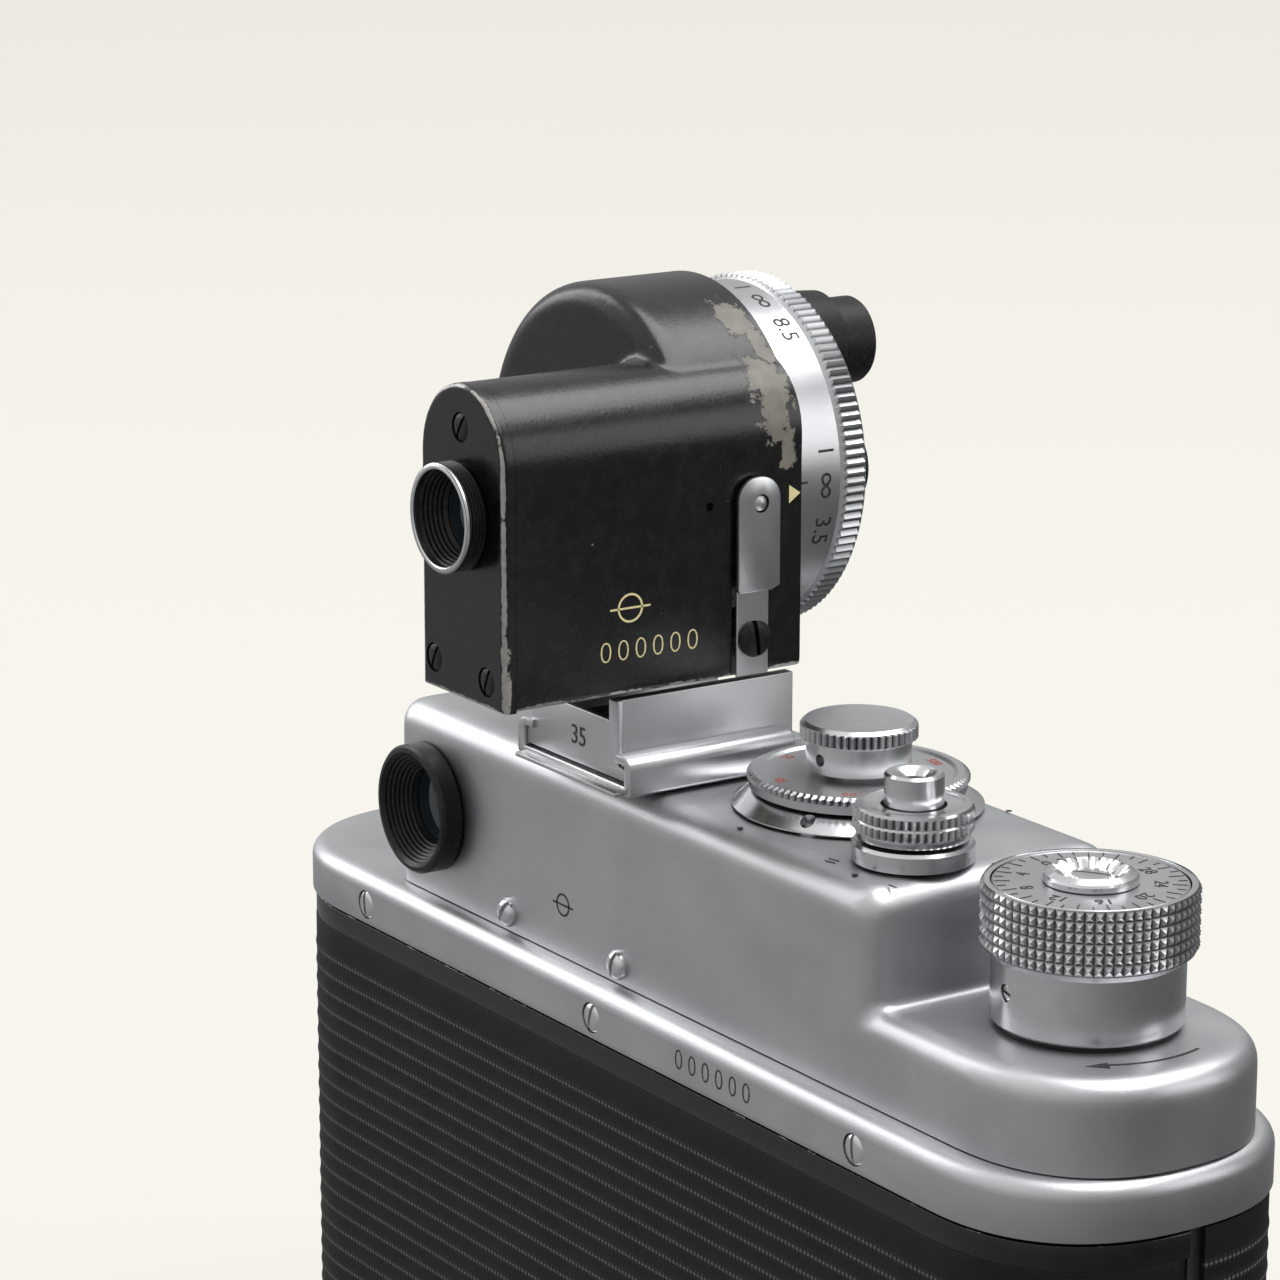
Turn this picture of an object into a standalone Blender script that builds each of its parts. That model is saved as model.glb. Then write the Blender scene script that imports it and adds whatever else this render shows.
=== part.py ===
"""A 35 mm rangefinder film camera with a turret finder in its accessory shoe.

The camera stands on its base plate, whose underside is z = 0 under the middle of the body.
+X is the rewind end, -X the winding end, +Y the back that faces the photographer, -Y the lens.
All sizes are in metres.
"""
import math

import bmesh
import bpy
from mathutils import Matrix, Vector

# ---- clearances and sheet thicknesses
GAP = 0.0003                 # left between pieces that touch
SHEET = 0.0010               # pressed metal of the deck skirt and housing
DECK_PLATE = 0.0012          # flat top of the deck
CAST_WALL = 0.0020           # chassis casting
COVER_WALL = 0.0012          # removable back
BASE_THICKNESS = 0.0020      # base plate of the removable back
COVERING = 0.0005            # textured covering
FINDER_WALL = 0.0015         # turret finder casting

# ---- body
BODY_LENGTH = 0.1420
BODY_DEPTH = 0.0352
SHELF_HEIGHT = 0.0640        # base to the low shelves of the deck
END_REACH = 0.0174           # length of the rounded ends
END_POWER = 2.4              # 2 is a half ellipse, more is blunter
SKIN_INSET = 0.0010          # chassis and back, inside the deck's outline
COVERING_INSET = 0.0002
BAND_HEIGHT = 0.0057         # chrome band at the deck's edge
DECK_EDGE = 0.0018
RIM_HEIGHT = 0.0028          # bare rim of the back above its covering

# ---- housing on the deck
HOUSING_RISE = 0.0207
PLATFORM_RISE = 0.0091       # under the wind knob
HOUSING_INSET = 0.0026       # front and back planes, inside the deck's
HOUSING_END_INSET = 0.0008
HOUSING_EDGE = 0.0028
PLATFORM_EDGE = 0.0022
LEFT_SHELF = 0.0252          # length of the low shelf at the rewind end
STEP_FROM_END = 0.0298       # from the winding end to the step

# ---- film path and lens
GATE_WIDTH = 0.0360
GATE_HEIGHT = 0.0240
FILM_TO_BACK = 0.0068        # film plane to the inside of the back
BLOCK_HALF = 0.0300          # half the width of the casting round the gate
RAIL = 0.0006
LENS_ABOVE_MIDDLE = 0.0018   # lens axis above the middle of the covered body
LENS_RING_RADIUS = 0.0215
LENS_BORE_RADIUS = 0.0194
LENS_REACH = 0.0284          # front of the lens beyond the body
SPOOL_RADIUS = 0.0090
SPROCKET_RADIUS = 0.0060
LOCK_RADIUS = 0.0080
BUSH_RADIUS = 0.0050
BUSH_X = -0.0200
BUSH_Y = -0.0030
BUSH_TOP = 0.0079
TIMER_HUB_RADIUS = 0.0052
SYNC_RADIUS = 0.0032
SHUTTER_TO_FILM = 0.0056     # curtain in front of the film plane

# ---- controls on top
WIND_FROM_END = 0.0170
WIND_Y = -0.0007
WIND_KNURL_RADIUS = 0.01027
WIND_SKIRT_RADIUS = 0.0091
WIND_HEIGHT = 0.0139
SHAFT_RADIUS = 0.0026
REWIND_FROM_END = 0.0150
REWIND_Y = -0.0030
REWIND_RADIUS = 0.0085
REWIND_HEIGHT = 0.0115
SLEEVE_RADIUS = 0.0034       # round the rewind shaft
DIAL_CLEARANCE = 0.0007      # between the speed dial's flange and the release
DIAL_Y = -0.0019
DIAL_RING_RADIUS = 0.01113
DIAL_FLANGE_STEP = 0.00147   # the flange's radius beyond the ring's
DIAL_CAP_RADIUS = 0.0059
DIAL_HEIGHT = 0.0089
DIAL_SHAFT_RADIUS = 0.0030
RELEASE_FROM_STEP = 0.0069
RELEASE_Y = 0.0049
RELEASE_RADIUS = 0.00594
BUTTON_RADIUS = 0.0029
EYEPIECE_FROM_LEFT = 0.0076
EYEPIECE_RISE = 0.0099
EYEPIECE_RADIUS = 0.00705
EYE_TUBE_RADIUS = 0.0053
RANGE_BASE = 0.0380          # between the two front windows
RANGE_WINDOW_RADIUS = 0.0034
VIEW_HALF_WIDTH = 0.0064
VIEW_HALF_HEIGHT = 0.0046

# ---- accessory shoe and turret finder
SHOE_HALF = 0.01055
SHOE_WALL = 0.00125
SHOE_BACK_OVERHANG = 0.0017
SHOE_LENGTH = 0.0202
SLOT_HEIGHT = 0.0021
LIP_REACH = 0.0016
FINDER_OFFSET = -0.0002      # finder block, from the shoe's middle
FINDER_HALF = 0.0076
FINDER_LIFT = 0.0103         # finder's underside above the housing
FINDER_BACK = 0.0298
FINDER_FRONT = -0.0059
FINDER_EYE_RADIUS = 0.0055
FINDER_EYE_REACH = 0.0027
FINDER_EYE_BORE = 0.0038
ARCH_RISE = 0.0055           # middle of the round top above the turret's axis
DRUM_SAG = 0.0006            # drum's lowest point below the finder's underside
TURRET_PITCH = 0.0117
DRUM_BACK = 0.00785
TUBE_RADIUS = 0.0046         # of the small lenses on the turret
TUBE_BORE = 0.0034
TUBE_COLLAR = 0.0058
BAND_MARGIN = 0.0004         # engraved band beyond the tubes' collars
KNURL_STEP = 0.00064         # knurled edge beyond the band
TURRET_FRONT = -0.0149
SPINDLE_RADIUS = 0.0020
TURRET_TUBES = (0.0019, 0.0087, 0.0045, 0.0060, 0.0023)   # how far each tube stands out

# ---- how finely round things are divided
ROUND = 24
SMALL_ROUND = 16
FINE_ROUND = 32              # the largest rings
END_STEPS = 12

# ---- places that follow from the sizes above
HALF_LENGTH = BODY_LENGTH / 2
HALF_DEPTH = BODY_DEPTH / 2
BAND_BOTTOM = SHELF_HEIGHT - BAND_HEIGHT
SKIN_TOP = BAND_BOTTOM - GAP
SKIN_BOTTOM = BASE_THICKNESS + GAP
CHAMBER_TOP = BAND_BOTTOM - 0.0025
PLUG_TOP = SHELF_HEIGHT - DECK_PLATE - GAP
HOUSING_TOP = SHELF_HEIGHT + HOUSING_RISE
PLATFORM_TOP = SHELF_HEIGHT + PLATFORM_RISE
HOUSING_SIDE = HALF_DEPTH - HOUSING_INSET
HOUSING_LEFT_X = HALF_LENGTH - LEFT_SHELF
STEP_X = STEP_FROM_END - HALF_LENGTH
LENS_Z = (BASE_THICKNESS + BAND_BOTTOM) / 2 + LENS_ABOVE_MIDDLE - BASE_THICKNESS / 2
SKIN_Y = HALF_DEPTH - SKIN_INSET
COVER_INNER_Y = SKIN_Y - COVER_WALL
FILM_Y = COVER_INNER_Y - FILM_TO_BACK
WIND_X = WIND_FROM_END - HALF_LENGTH
REWIND_X = HALF_LENGTH - REWIND_FROM_END
LOCK_X = HALF_LENGTH - WIND_FROM_END
SPROCKET_X = -BLOCK_HALF + 0.0030
SPROCKET_Y = FILM_Y - SPROCKET_RADIUS - GAP
RELEASE_X = STEP_X + RELEASE_FROM_STEP
DIAL_FLANGE_RADIUS = DIAL_RING_RADIUS + DIAL_FLANGE_STEP
DIAL_X = RELEASE_X + math.sqrt(
    (DIAL_FLANGE_RADIUS + RELEASE_RADIUS + DIAL_CLEARANCE) ** 2 - (RELEASE_Y - DIAL_Y) ** 2)
EYEPIECE_X = HOUSING_LEFT_X - EYEPIECE_FROM_LEFT
EYEPIECE_Z = SHELF_HEIGHT + EYEPIECE_RISE
TIMER_X = -(LENS_RING_RADIUS + 0.0185)
TIMER_Z = LENS_Z + 0.0130
SYNC_X = HALF_LENGTH - 0.0190
SHOE_X = DIAL_X + DIAL_FLANGE_RADIUS + SHOE_HALF + 0.00035
SHOE_FLOOR = HOUSING_TOP + GAP + SHEET
SHOE_TOP = SHOE_FLOOR + SLOT_HEIGHT + SHEET
SHOE_BACK = HOUSING_SIDE + SHOE_BACK_OVERHANG
FINDER_X = SHOE_X + FINDER_OFFSET
FINDER_BOTTOM = HOUSING_TOP + FINDER_LIFT
DRUM_RADIUS = TURRET_PITCH + FINDER_HALF
TURRET_X = FINDER_X + TURRET_PITCH
TURRET_Z = FINDER_BOTTOM + DRUM_RADIUS - DRUM_SAG
ARCH_Z = TURRET_Z + ARCH_RISE
TURRET_BAND_RADIUS = TURRET_PITCH + TUBE_COLLAR + BAND_MARGIN
TURRET_KNURL_RADIUS = TURRET_BAND_RADIUS + KNURL_STEP

FAR = 0.05                   # reach of a cutter beyond what it cuts
WELD_DISTANCE = 0.00001      # points nearer than this are one


# ---- scene, collections and finishes
for old in list(bpy.data.objects):
    bpy.data.objects.remove(old, do_unlink=True)

CAMERA = bpy.data.collections.new("film_camera")
CUTTERS = bpy.data.collections.new("cutters")
bpy.context.scene.collection.children.link(CAMERA)
bpy.context.scene.collection.children.link(CUTTERS)

# colour, metallic, roughness
SATIN_CHROME = ((0.46, 0.47, 0.48), 1.0, 0.42)
BRIGHT_CHROME = ((0.70, 0.70, 0.71), 1.0, 0.20)
BLACK_ENAMEL = ((0.010, 0.010, 0.011), 0.0, 0.28)
BLACK_ANODISED = ((0.018, 0.018, 0.019), 0.6, 0.45)
BLACK_COVERING = ((0.016, 0.016, 0.016), 0.0, 0.65)
DARK_CASTING = ((0.030, 0.030, 0.032), 0.4, 0.60)
OPTICAL_GLASS = ((0.75, 0.80, 0.85), 0.0, 0.03)
RUBBER_CLOTH = ((0.008, 0.008, 0.008), 0.0, 0.80)


def finish(piece, look):
    """Give a piece its own material."""
    colour, metallic, roughness = look
    material = bpy.data.materials.new(piece.name + "_finish")
    material.use_nodes = True
    shader = material.node_tree.nodes["Principled BSDF"]
    shader.inputs["Base Color"].default_value = (*colour, 1.0)
    shader.inputs["Metallic"].default_value = metallic
    shader.inputs["Roughness"].default_value = roughness
    piece.data.materials.clear()
    piece.data.materials.append(material)
    if any(modifier.type == "BOOLEAN" for modifier in piece.modifiers):
        seams = piece.modifiers.new("seams", "WELD")
        seams.merge_threshold = WELD_DISTANCE
    return piece


# ---- outlines
def oval(half_length, half_depth, end_reach, steps=END_STEPS):
    """Plan outline with straight sides and blunt round ends, anticlockwise."""
    straight = half_length - end_reach
    points = []
    for side, first in ((1, -90), (-1, 90)):
        for step in range(steps + 1):
            angle = math.radians(first + 180 * step / steps)
            across, along = math.cos(angle), math.sin(angle)
            x = math.copysign(end_reach * abs(across) ** (2 / END_POWER), side)
            y = math.copysign(half_depth * abs(along) ** (2 / END_POWER), along)
            points.append((side * straight + x, y))
    return points


def body_outline(inset):
    """The deck's plan outline, moved inwards."""
    return oval(HALF_LENGTH - inset, HALF_DEPTH - inset, END_REACH - inset)


def arch(half_width, bottom, centre, middle_x, steps=14):
    """Upright sides under a half-round top, anticlockwise in X and Z."""
    points = [(middle_x - half_width, bottom), (middle_x + half_width, bottom)]
    for step in range(steps + 1):
        angle = math.pi * step / steps
        points.append((middle_x + half_width * math.cos(angle), centre + half_width * math.sin(angle)))
    return points


def rounded_rectangle(x_low, x_high, y_low, y_high, radius, steps=4):
    """Rectangle with round corners, anticlockwise."""
    points = []
    corners = ((x_high, y_low, -90), (x_high, y_high, 0), (x_low, y_high, 90), (x_low, y_low, 180))
    for x, y, first in corners:
        centre_x = x - math.copysign(radius, x - (x_low + x_high) / 2)
        centre_y = y - math.copysign(radius, y - (y_low + y_high) / 2)
        for step in range(steps + 1):
            angle = math.radians(first + 90 * step / steps)
            points.append((centre_x + radius * math.cos(angle), centre_y + radius * math.sin(angle)))
    return points


# ---- shapes
# A slab or turned piece is drawn upright, then faced: UP keeps it, BACK and FRONT lay its height
# along +Y and -Y, LEFT and RIGHT along +X and -X.
FACING = {
    "UP": Matrix.Identity(4),
    "BACK": Matrix.Rotation(-math.pi / 2, 4, "X"),
    "FRONT": Matrix.Rotation(math.pi / 2, 4, "X"),
    "LEFT": Matrix.Rotation(math.pi / 2, 4, "Y"),
    "RIGHT": Matrix.Rotation(-math.pi / 2, 4, "Y"),
}
# An extruded outline keeps its first axis along X or Y and its second upright.
ALONG = {
    "Z": Matrix.Identity(4),
    "Y": Matrix.Rotation(math.pi / 2, 4, "X"),
    "X": Matrix(((0, 0, 1, 0), (1, 0, 0, 0), (0, 1, 0, 0), (0, 0, 0, 1))),
}


def slab(name, outline, low, high, along="Z"):
    """Extrude a flat outline from low to high along an axis."""
    curve = bpy.data.curves.new(name, "CURVE")
    curve.dimensions = "2D"
    curve.fill_mode = "BOTH"
    curve.extrude = (high - low) / 2
    spline = curve.splines.new("POLY")
    spline.points.add(len(outline) - 1)
    for point, (first, second) in zip(spline.points, outline):
        point.co = (first, second, 0, 1)
    spline.use_cyclic_u = True
    drawn = bpy.data.objects.new(name + "_outline", curve)
    CAMERA.objects.link(drawn)
    middle = {"Z": (0, 0, 1), "Y": (0, 1, 0), "X": (1, 0, 0)}[along]
    drawn.matrix_world = Matrix.Translation(Vector(middle) * (low + high) / 2) @ ALONG[along]
    bpy.context.view_layer.update()
    solid = drawn.evaluated_get(bpy.context.evaluated_depsgraph_get())
    mesh = bpy.data.meshes.new_from_object(solid)
    mesh.transform(drawn.matrix_world)
    bpy.data.objects.remove(drawn, do_unlink=True)
    return welded(name, mesh)


def welded(name, mesh):
    """Close a mesh's seams, face it outwards and make it an object."""
    shape = bmesh.new()
    shape.from_mesh(mesh)
    bmesh.ops.remove_doubles(shape, verts=shape.verts, dist=0.000001)
    bmesh.ops.recalc_face_normals(shape, faces=shape.faces)
    shape.to_mesh(mesh)
    shape.free()
    mesh.name = name
    piece = bpy.data.objects.new(name, mesh)
    CAMERA.objects.link(piece)
    return piece


def box(name, low, high):
    """Rectangular block between two corners."""
    shape = bmesh.new()
    bmesh.ops.create_cube(shape, size=1.0)
    size = Vector(high) - Vector(low)
    bmesh.ops.scale(shape, vec=size, verts=shape.verts)
    bmesh.ops.translate(shape, vec=(Vector(high) + Vector(low)) / 2, verts=shape.verts)
    mesh = bpy.data.meshes.new(name)
    shape.to_mesh(mesh)
    shape.free()
    piece = bpy.data.objects.new(name, mesh)
    CAMERA.objects.link(piece)
    return piece


def rod(name, radius, low, high, place, facing="UP", steps=ROUND):
    """Plain cylinder whose ends are at low and high along its axis through place."""
    shape = bmesh.new()
    bmesh.ops.create_cone(shape, cap_ends=True, segments=steps, radius1=radius, radius2=radius,
                          depth=high - low)
    bmesh.ops.translate(shape, vec=(0, 0, (low + high) / 2), verts=shape.verts)
    mesh = bpy.data.meshes.new(name)
    shape.to_mesh(mesh)
    shape.free()
    piece = bpy.data.objects.new(name, mesh)
    CAMERA.objects.link(piece)
    piece.matrix_world = Matrix.Translation(place) @ FACING[facing]
    return piece


def turned(name, profile, place, facing="UP", steps=ROUND):
    """Turn a profile of (radius, height) points, listed from the top down the outer side.

    A profile that starts and ends on the axis is a solid, any other is closed into a ring.
    """
    count = len(profile)
    ring = profile[0][0] > 0
    mesh = bpy.data.meshes.new(name)
    edges = [(index, (index + 1) % count) for index in range(count if ring else count - 1)]
    mesh.from_pydata([(radius, 0, height) for radius, height in profile], edges, [])
    piece = bpy.data.objects.new(name, mesh)
    CAMERA.objects.link(piece)
    piece.matrix_world = Matrix.Translation(place) @ FACING[facing]
    screw = piece.modifiers.new("turning", "SCREW")
    screw.angle = math.tau
    screw.steps = steps
    screw.render_steps = steps
    screw.use_merge_vertices = True
    screw.merge_threshold = WELD_DISTANCE
    return piece


def washer(name, outer, inner, low, high, place, facing="UP", steps=ROUND, edge=0.0):
    """Flat ring with an optional small slope on its upper outer edge."""
    profile = [(outer - edge, high), (outer, high - edge)] if edge else [(outer, high)]
    profile += [(outer, low), (inner, low), (inner, high)]
    return turned(name, profile, place, facing, steps)


def hide_as_cutter(piece):
    CAMERA.objects.unlink(piece)
    CUTTERS.objects.link(piece)
    piece.hide_render = True
    piece.display_type = "WIRE"


def combine(target, tool, operation):
    """Boolean a piece with a tool, which then becomes a hidden cutter."""
    modifier = target.modifiers.new(operation.lower(), "BOOLEAN")
    modifier.operation = operation
    modifier.solver = "EXACT"
    modifier.object = tool
    hide_as_cutter(tool)
    return target


def cut(target, *tools):
    for tool in tools:
        combine(target, tool, "DIFFERENCE")
    return target


def join(target, *tools):
    for tool in tools:
        combine(target, tool, "UNION")
    return target


def round_rim(piece, height, radius, segments=3):
    """Round the edges that lie at one height of an upright slab."""
    mesh = piece.data
    weights = mesh.attributes.new("bevel_weight_edge", "FLOAT", "EDGE")
    for edge in mesh.edges:
        if all(abs(mesh.vertices[index].co.z - height) < GAP / 3 for index in edge.vertices):
            weights.data[edge.index].value = 1.0
    flat = [edge for edge in inner_edges(mesh, height)]
    for index in flat:
        weights.data[index].value = 0.0
    bevel = piece.modifiers.new("round_rim", "BEVEL")
    bevel.limit_method = "WEIGHT"
    bevel.width = radius
    bevel.segments = segments
    return piece


def inner_edges(mesh, height):
    """Edges of the flat face at one height that have that face on both sides."""
    faces_at = {}
    for polygon in mesh.polygons:
        level = all(abs(mesh.vertices[index].co.z - height) < GAP / 3 for index in polygon.vertices)
        if level:
            for key in polygon.edge_keys:
                faces_at[key] = faces_at.get(key, 0) + 1
    return [edge.index for edge in mesh.edges if faces_at.get(edge.key, 0) == 2]


def pivot(name, place, *pieces):
    """Empty on a joint's axis that carries the pieces that move with it."""
    empty = bpy.data.objects.new(name, None)
    empty.empty_display_size = 0.005
    empty.location = place
    CAMERA.objects.link(empty)
    bpy.context.view_layer.update()
    for piece in pieces:
        piece.parent = empty
        piece.matrix_parent_inverse = empty.matrix_world.inverted()
    return empty


def front_half(name):
    """Everything behind the seam between the front casting and the back."""
    return box(
        name, (-HALF_LENGTH - FAR, 0, -FAR), (HALF_LENGTH + FAR, HALF_DEPTH + FAR, SHELF_HEIGHT + FAR))


def back_half(name):
    """Everything in front of the back cover's seam."""
    return box(name, (-HALF_LENGTH - FAR, -HALF_DEPTH - FAR, -FAR),
               (HALF_LENGTH + FAR, GAP, SHELF_HEIGHT + FAR))


# ---- body casting, shutter and coverings
def make_chassis():
    shell = slab("chassis", body_outline(SKIN_INSET), SKIN_BOTTOM, SKIN_TOP)
    inner = slab("chassis_inside", body_outline(SKIN_INSET + CAST_WALL), -FAR, SHELF_HEIGHT + FAR)
    block_front = -(SKIN_Y - CAST_WALL / 2)
    block = box("chassis_block", (-BLOCK_HALF, block_front, SKIN_BOTTOM),
                (BLOCK_HALF, FILM_Y - RAIL, CHAMBER_TOP + SHEET))
    plug = slab("chassis_plug", body_outline(SKIN_INSET + COVER_WALL + GAP), CHAMBER_TOP, PLUG_TOP)
    cut(shell, inner, front_half("chassis_seam"))
    join(shell, block, plug)
    for name, sign in (("upper", 1), ("lower", -1)):
        near = LENS_Z + sign * (GATE_HEIGHT / 2 + 0.0010)
        far = near + sign * 0.0015
        low, high = min(near, far), max(near, far)
        rail = box("rail_" + name, (SPROCKET_X + SPROCKET_RADIUS + 0.0020, FILM_Y - 2 * RAIL, low),
                   (BLOCK_HALF, FILM_Y, high))
        join(shell, rail)
    gate = box("gate_cut", (-GATE_WIDTH / 2, -HALF_DEPTH - FAR, LENS_Z - GATE_HEIGHT / 2),
               (GATE_WIDTH / 2, HALF_DEPTH + FAR, LENS_Z + GATE_HEIGHT / 2))
    throat = rod("throat_cut", LENS_BORE_RADIUS, HALF_DEPTH - 0.0096, HALF_DEPTH + FAR, (0, 0, LENS_Z),
                 "FRONT")
    pocket = rod("sprocket_cut", SPROCKET_RADIUS + 2 * GAP, -FAR, CHAMBER_TOP, (SPROCKET_X, SPROCKET_Y, 0))
    wind_hole = rod("wind_cut", SHAFT_RADIUS + 2 * GAP, BAND_BOTTOM - 0.01, SHELF_HEIGHT + FAR,
                    (WIND_X, WIND_Y, 0), steps=SMALL_ROUND)
    rewind_hole = rod("rewind_cut", SLEEVE_RADIUS + GAP, BAND_BOTTOM - 0.01, SHELF_HEIGHT + FAR,
                      (REWIND_X, REWIND_Y, 0), steps=SMALL_ROUND)
    bush_hole = rod("bush_cut", BUSH_RADIUS + GAP, -FAR, BUSH_TOP + GAP, (BUSH_X, BUSH_Y, 0),
                    steps=SMALL_ROUND)
    cut(shell, gate, throat, pocket, wind_hole, rewind_hole, bush_hole)
    return finish(shell, DARK_CASTING)


def make_shutter_curtain():
    half_width = GATE_WIDTH / 2 - GAP
    half_height = GATE_HEIGHT / 2 - GAP
    curtain_y = FILM_Y - SHUTTER_TO_FILM
    curtain = box("shutter_curtain", (-half_width, curtain_y, LENS_Z - half_height),
                  (half_width, curtain_y + SHEET / 2, LENS_Z + half_height))
    return finish(curtain, RUBBER_CLOTH)


def make_front_covering():
    sheet = slab("front_covering", body_outline(COVERING_INSET), SKIN_BOTTOM, SKIN_TOP)
    inner = slab("front_covering_inside", body_outline(COVERING_INSET + COVERING), -FAR, SHELF_HEIGHT + FAR)
    lens_hole = rod("covering_lens_cut", LENS_RING_RADIUS + GAP, 0, FAR, (0, 0, LENS_Z), "FRONT",
                    steps=FINE_ROUND)
    timer_hole = rod("covering_timer_cut", TIMER_HUB_RADIUS + GAP, 0, FAR, (TIMER_X, 0, TIMER_Z),
                     "FRONT", steps=SMALL_ROUND)
    sync_hole = rod("covering_sync_cut", SYNC_RADIUS + GAP, 0, FAR, (SYNC_X, 0, TIMER_Z), "FRONT",
                    steps=SMALL_ROUND)
    cut(sheet, inner, front_half("covering_seam"), lens_hole, timer_hole, sync_hole)
    return finish(sheet, BLACK_COVERING)


def make_back_covering():
    sheet = slab("back_covering", body_outline(COVERING_INSET), SKIN_BOTTOM, BAND_BOTTOM - RIM_HEIGHT)
    inner = slab("back_covering_inside", body_outline(COVERING_INSET + COVERING), -FAR, SHELF_HEIGHT + FAR)
    cut(sheet, inner, back_half("back_covering_seam"))
    return finish(sheet, BLACK_COVERING)


def make_tripod_bush():
    """Blind threaded bush that stands on the casting and shows through the base plate."""
    low = 0.0002
    hole = 0.0030
    profile = [(0, BUSH_TOP), (BUSH_RADIUS, BUSH_TOP), (BUSH_RADIUS, low), (hole, low),
               (hole, BUSH_TOP - SHEET), (0, BUSH_TOP - SHEET)]
    return finish(turned("tripod_bush", profile, (BUSH_X, BUSH_Y, 0), steps=SMALL_ROUND), BRIGHT_CHROME)


# ---- deck and housing
def make_top_deck():
    deck = slab("top_deck", body_outline(0), BAND_BOTTOM, SHELF_HEIGHT)
    round_rim(deck, SHELF_HEIGHT, DECK_EDGE)
    hollow = slab("deck_inside", body_outline(SHEET), -FAR, SHELF_HEIGHT - DECK_PLATE)
    wind_hole = rod("deck_wind_cut", SHAFT_RADIUS + 2 * GAP, 0, FAR * 2, (WIND_X, WIND_Y, 0),
                    steps=SMALL_ROUND)
    rewind_hole = rod("deck_rewind_cut", SLEEVE_RADIUS + GAP, 0, FAR * 2, (REWIND_X, REWIND_Y, 0),
                      steps=SMALL_ROUND)
    cut(deck, hollow, wind_hole, rewind_hole)
    return finish(deck, SATIN_CHROME)


def housing_outline(inset, left_x):
    """Plan of the housing from its rewind-end face to the rounded winding end."""
    half = HOUSING_SIDE - inset
    reach = END_REACH - HOUSING_END_INSET - inset
    whole = oval(HALF_LENGTH - HOUSING_END_INSET - inset, half, reach)
    winding_end = [point for point in whole if point[0] < 0]
    return winding_end + [(left_x, -half), (left_x, half)]


def make_top_housing():
    low = SHELF_HEIGHT + GAP
    corner = HOUSING_EDGE
    inner_corner = corner - SHEET
    tall = slab(
        "top_housing", rounded_rectangle(STEP_X, HOUSING_LEFT_X, -HOUSING_SIDE, HOUSING_SIDE, corner),
        low, HOUSING_TOP)
    round_rim(tall, HOUSING_TOP, HOUSING_EDGE)
    platform = slab("platform", housing_outline(0, STEP_X + 2 * corner), low, PLATFORM_TOP)
    round_rim(platform, PLATFORM_TOP, PLATFORM_EDGE)
    join(tall, platform)
    hollow = slab(
        "housing_inside",
        rounded_rectangle(
            STEP_X + SHEET, HOUSING_LEFT_X - SHEET, -HOUSING_SIDE + SHEET, HOUSING_SIDE - SHEET,
            inner_corner),
        -FAR, HOUSING_TOP - DECK_PLATE)
    platform_hollow = slab("platform_inside", housing_outline(SHEET, STEP_X + 2 * corner), -FAR,
                           PLATFORM_TOP - DECK_PLATE)
    holes = [
        rod("housing_wind_cut", SHAFT_RADIUS + 2 * GAP, SHELF_HEIGHT, SHELF_HEIGHT + FAR,
            (WIND_X, WIND_Y, 0), steps=SMALL_ROUND),
        rod("housing_dial_cut", DIAL_SHAFT_RADIUS + GAP, SHELF_HEIGHT, SHELF_HEIGHT + FAR,
            (DIAL_X, DIAL_Y, 0), steps=SMALL_ROUND),
        rod("housing_button_cut", BUTTON_RADIUS + GAP, SHELF_HEIGHT, SHELF_HEIGHT + FAR,
            (RELEASE_X, RELEASE_Y, 0), steps=SMALL_ROUND),
        rod("housing_eyepiece_cut", EYE_TUBE_RADIUS + GAP, 0, FAR, (EYEPIECE_X, 0, EYEPIECE_Z), "BACK",
            steps=SMALL_ROUND),
        rod("housing_range_cut", RANGE_WINDOW_RADIUS + GAP, 0, FAR,
            (EYEPIECE_X - RANGE_BASE, 0, EYEPIECE_Z), "FRONT", steps=SMALL_ROUND),
        box("housing_view_cut", (EYEPIECE_X - VIEW_HALF_WIDTH - GAP, -FAR,
                                 EYEPIECE_Z - VIEW_HALF_HEIGHT - GAP),
            (EYEPIECE_X + VIEW_HALF_WIDTH + GAP, 0, EYEPIECE_Z + VIEW_HALF_HEIGHT + GAP)),
    ]
    cut(tall, hollow, platform_hollow, *holes)
    return finish(tall, SATIN_CHROME)


def make_eyepiece():
    """Round eyepiece in the back of the housing, and its lens."""
    face = HOUSING_SIDE + GAP
    rim = face + 0.0024
    bore = 0.0045
    inside = HOUSING_SIDE - 0.0030
    profile = [
        (EYEPIECE_RADIUS - 0.0004, rim), (EYEPIECE_RADIUS, rim - 0.0004), (EYEPIECE_RADIUS, face),
        (EYE_TUBE_RADIUS, face), (EYE_TUBE_RADIUS, inside), (bore, inside), (bore, face + 0.0008),
        (EYEPIECE_RADIUS - 0.0012, rim)]
    place = (EYEPIECE_X, 0, EYEPIECE_Z)
    ring = finish(turned("eyepiece_ring", profile, place, "BACK"), BLACK_ANODISED)
    glass = [(0, face - 0.0006), (bore - GAP, face - 0.0012), (bore - GAP, inside), (0, inside)]
    lens = finish(turned("eyepiece_lens", glass, place, "BACK", SMALL_ROUND), OPTICAL_GLASS)
    return ring, lens


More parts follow.
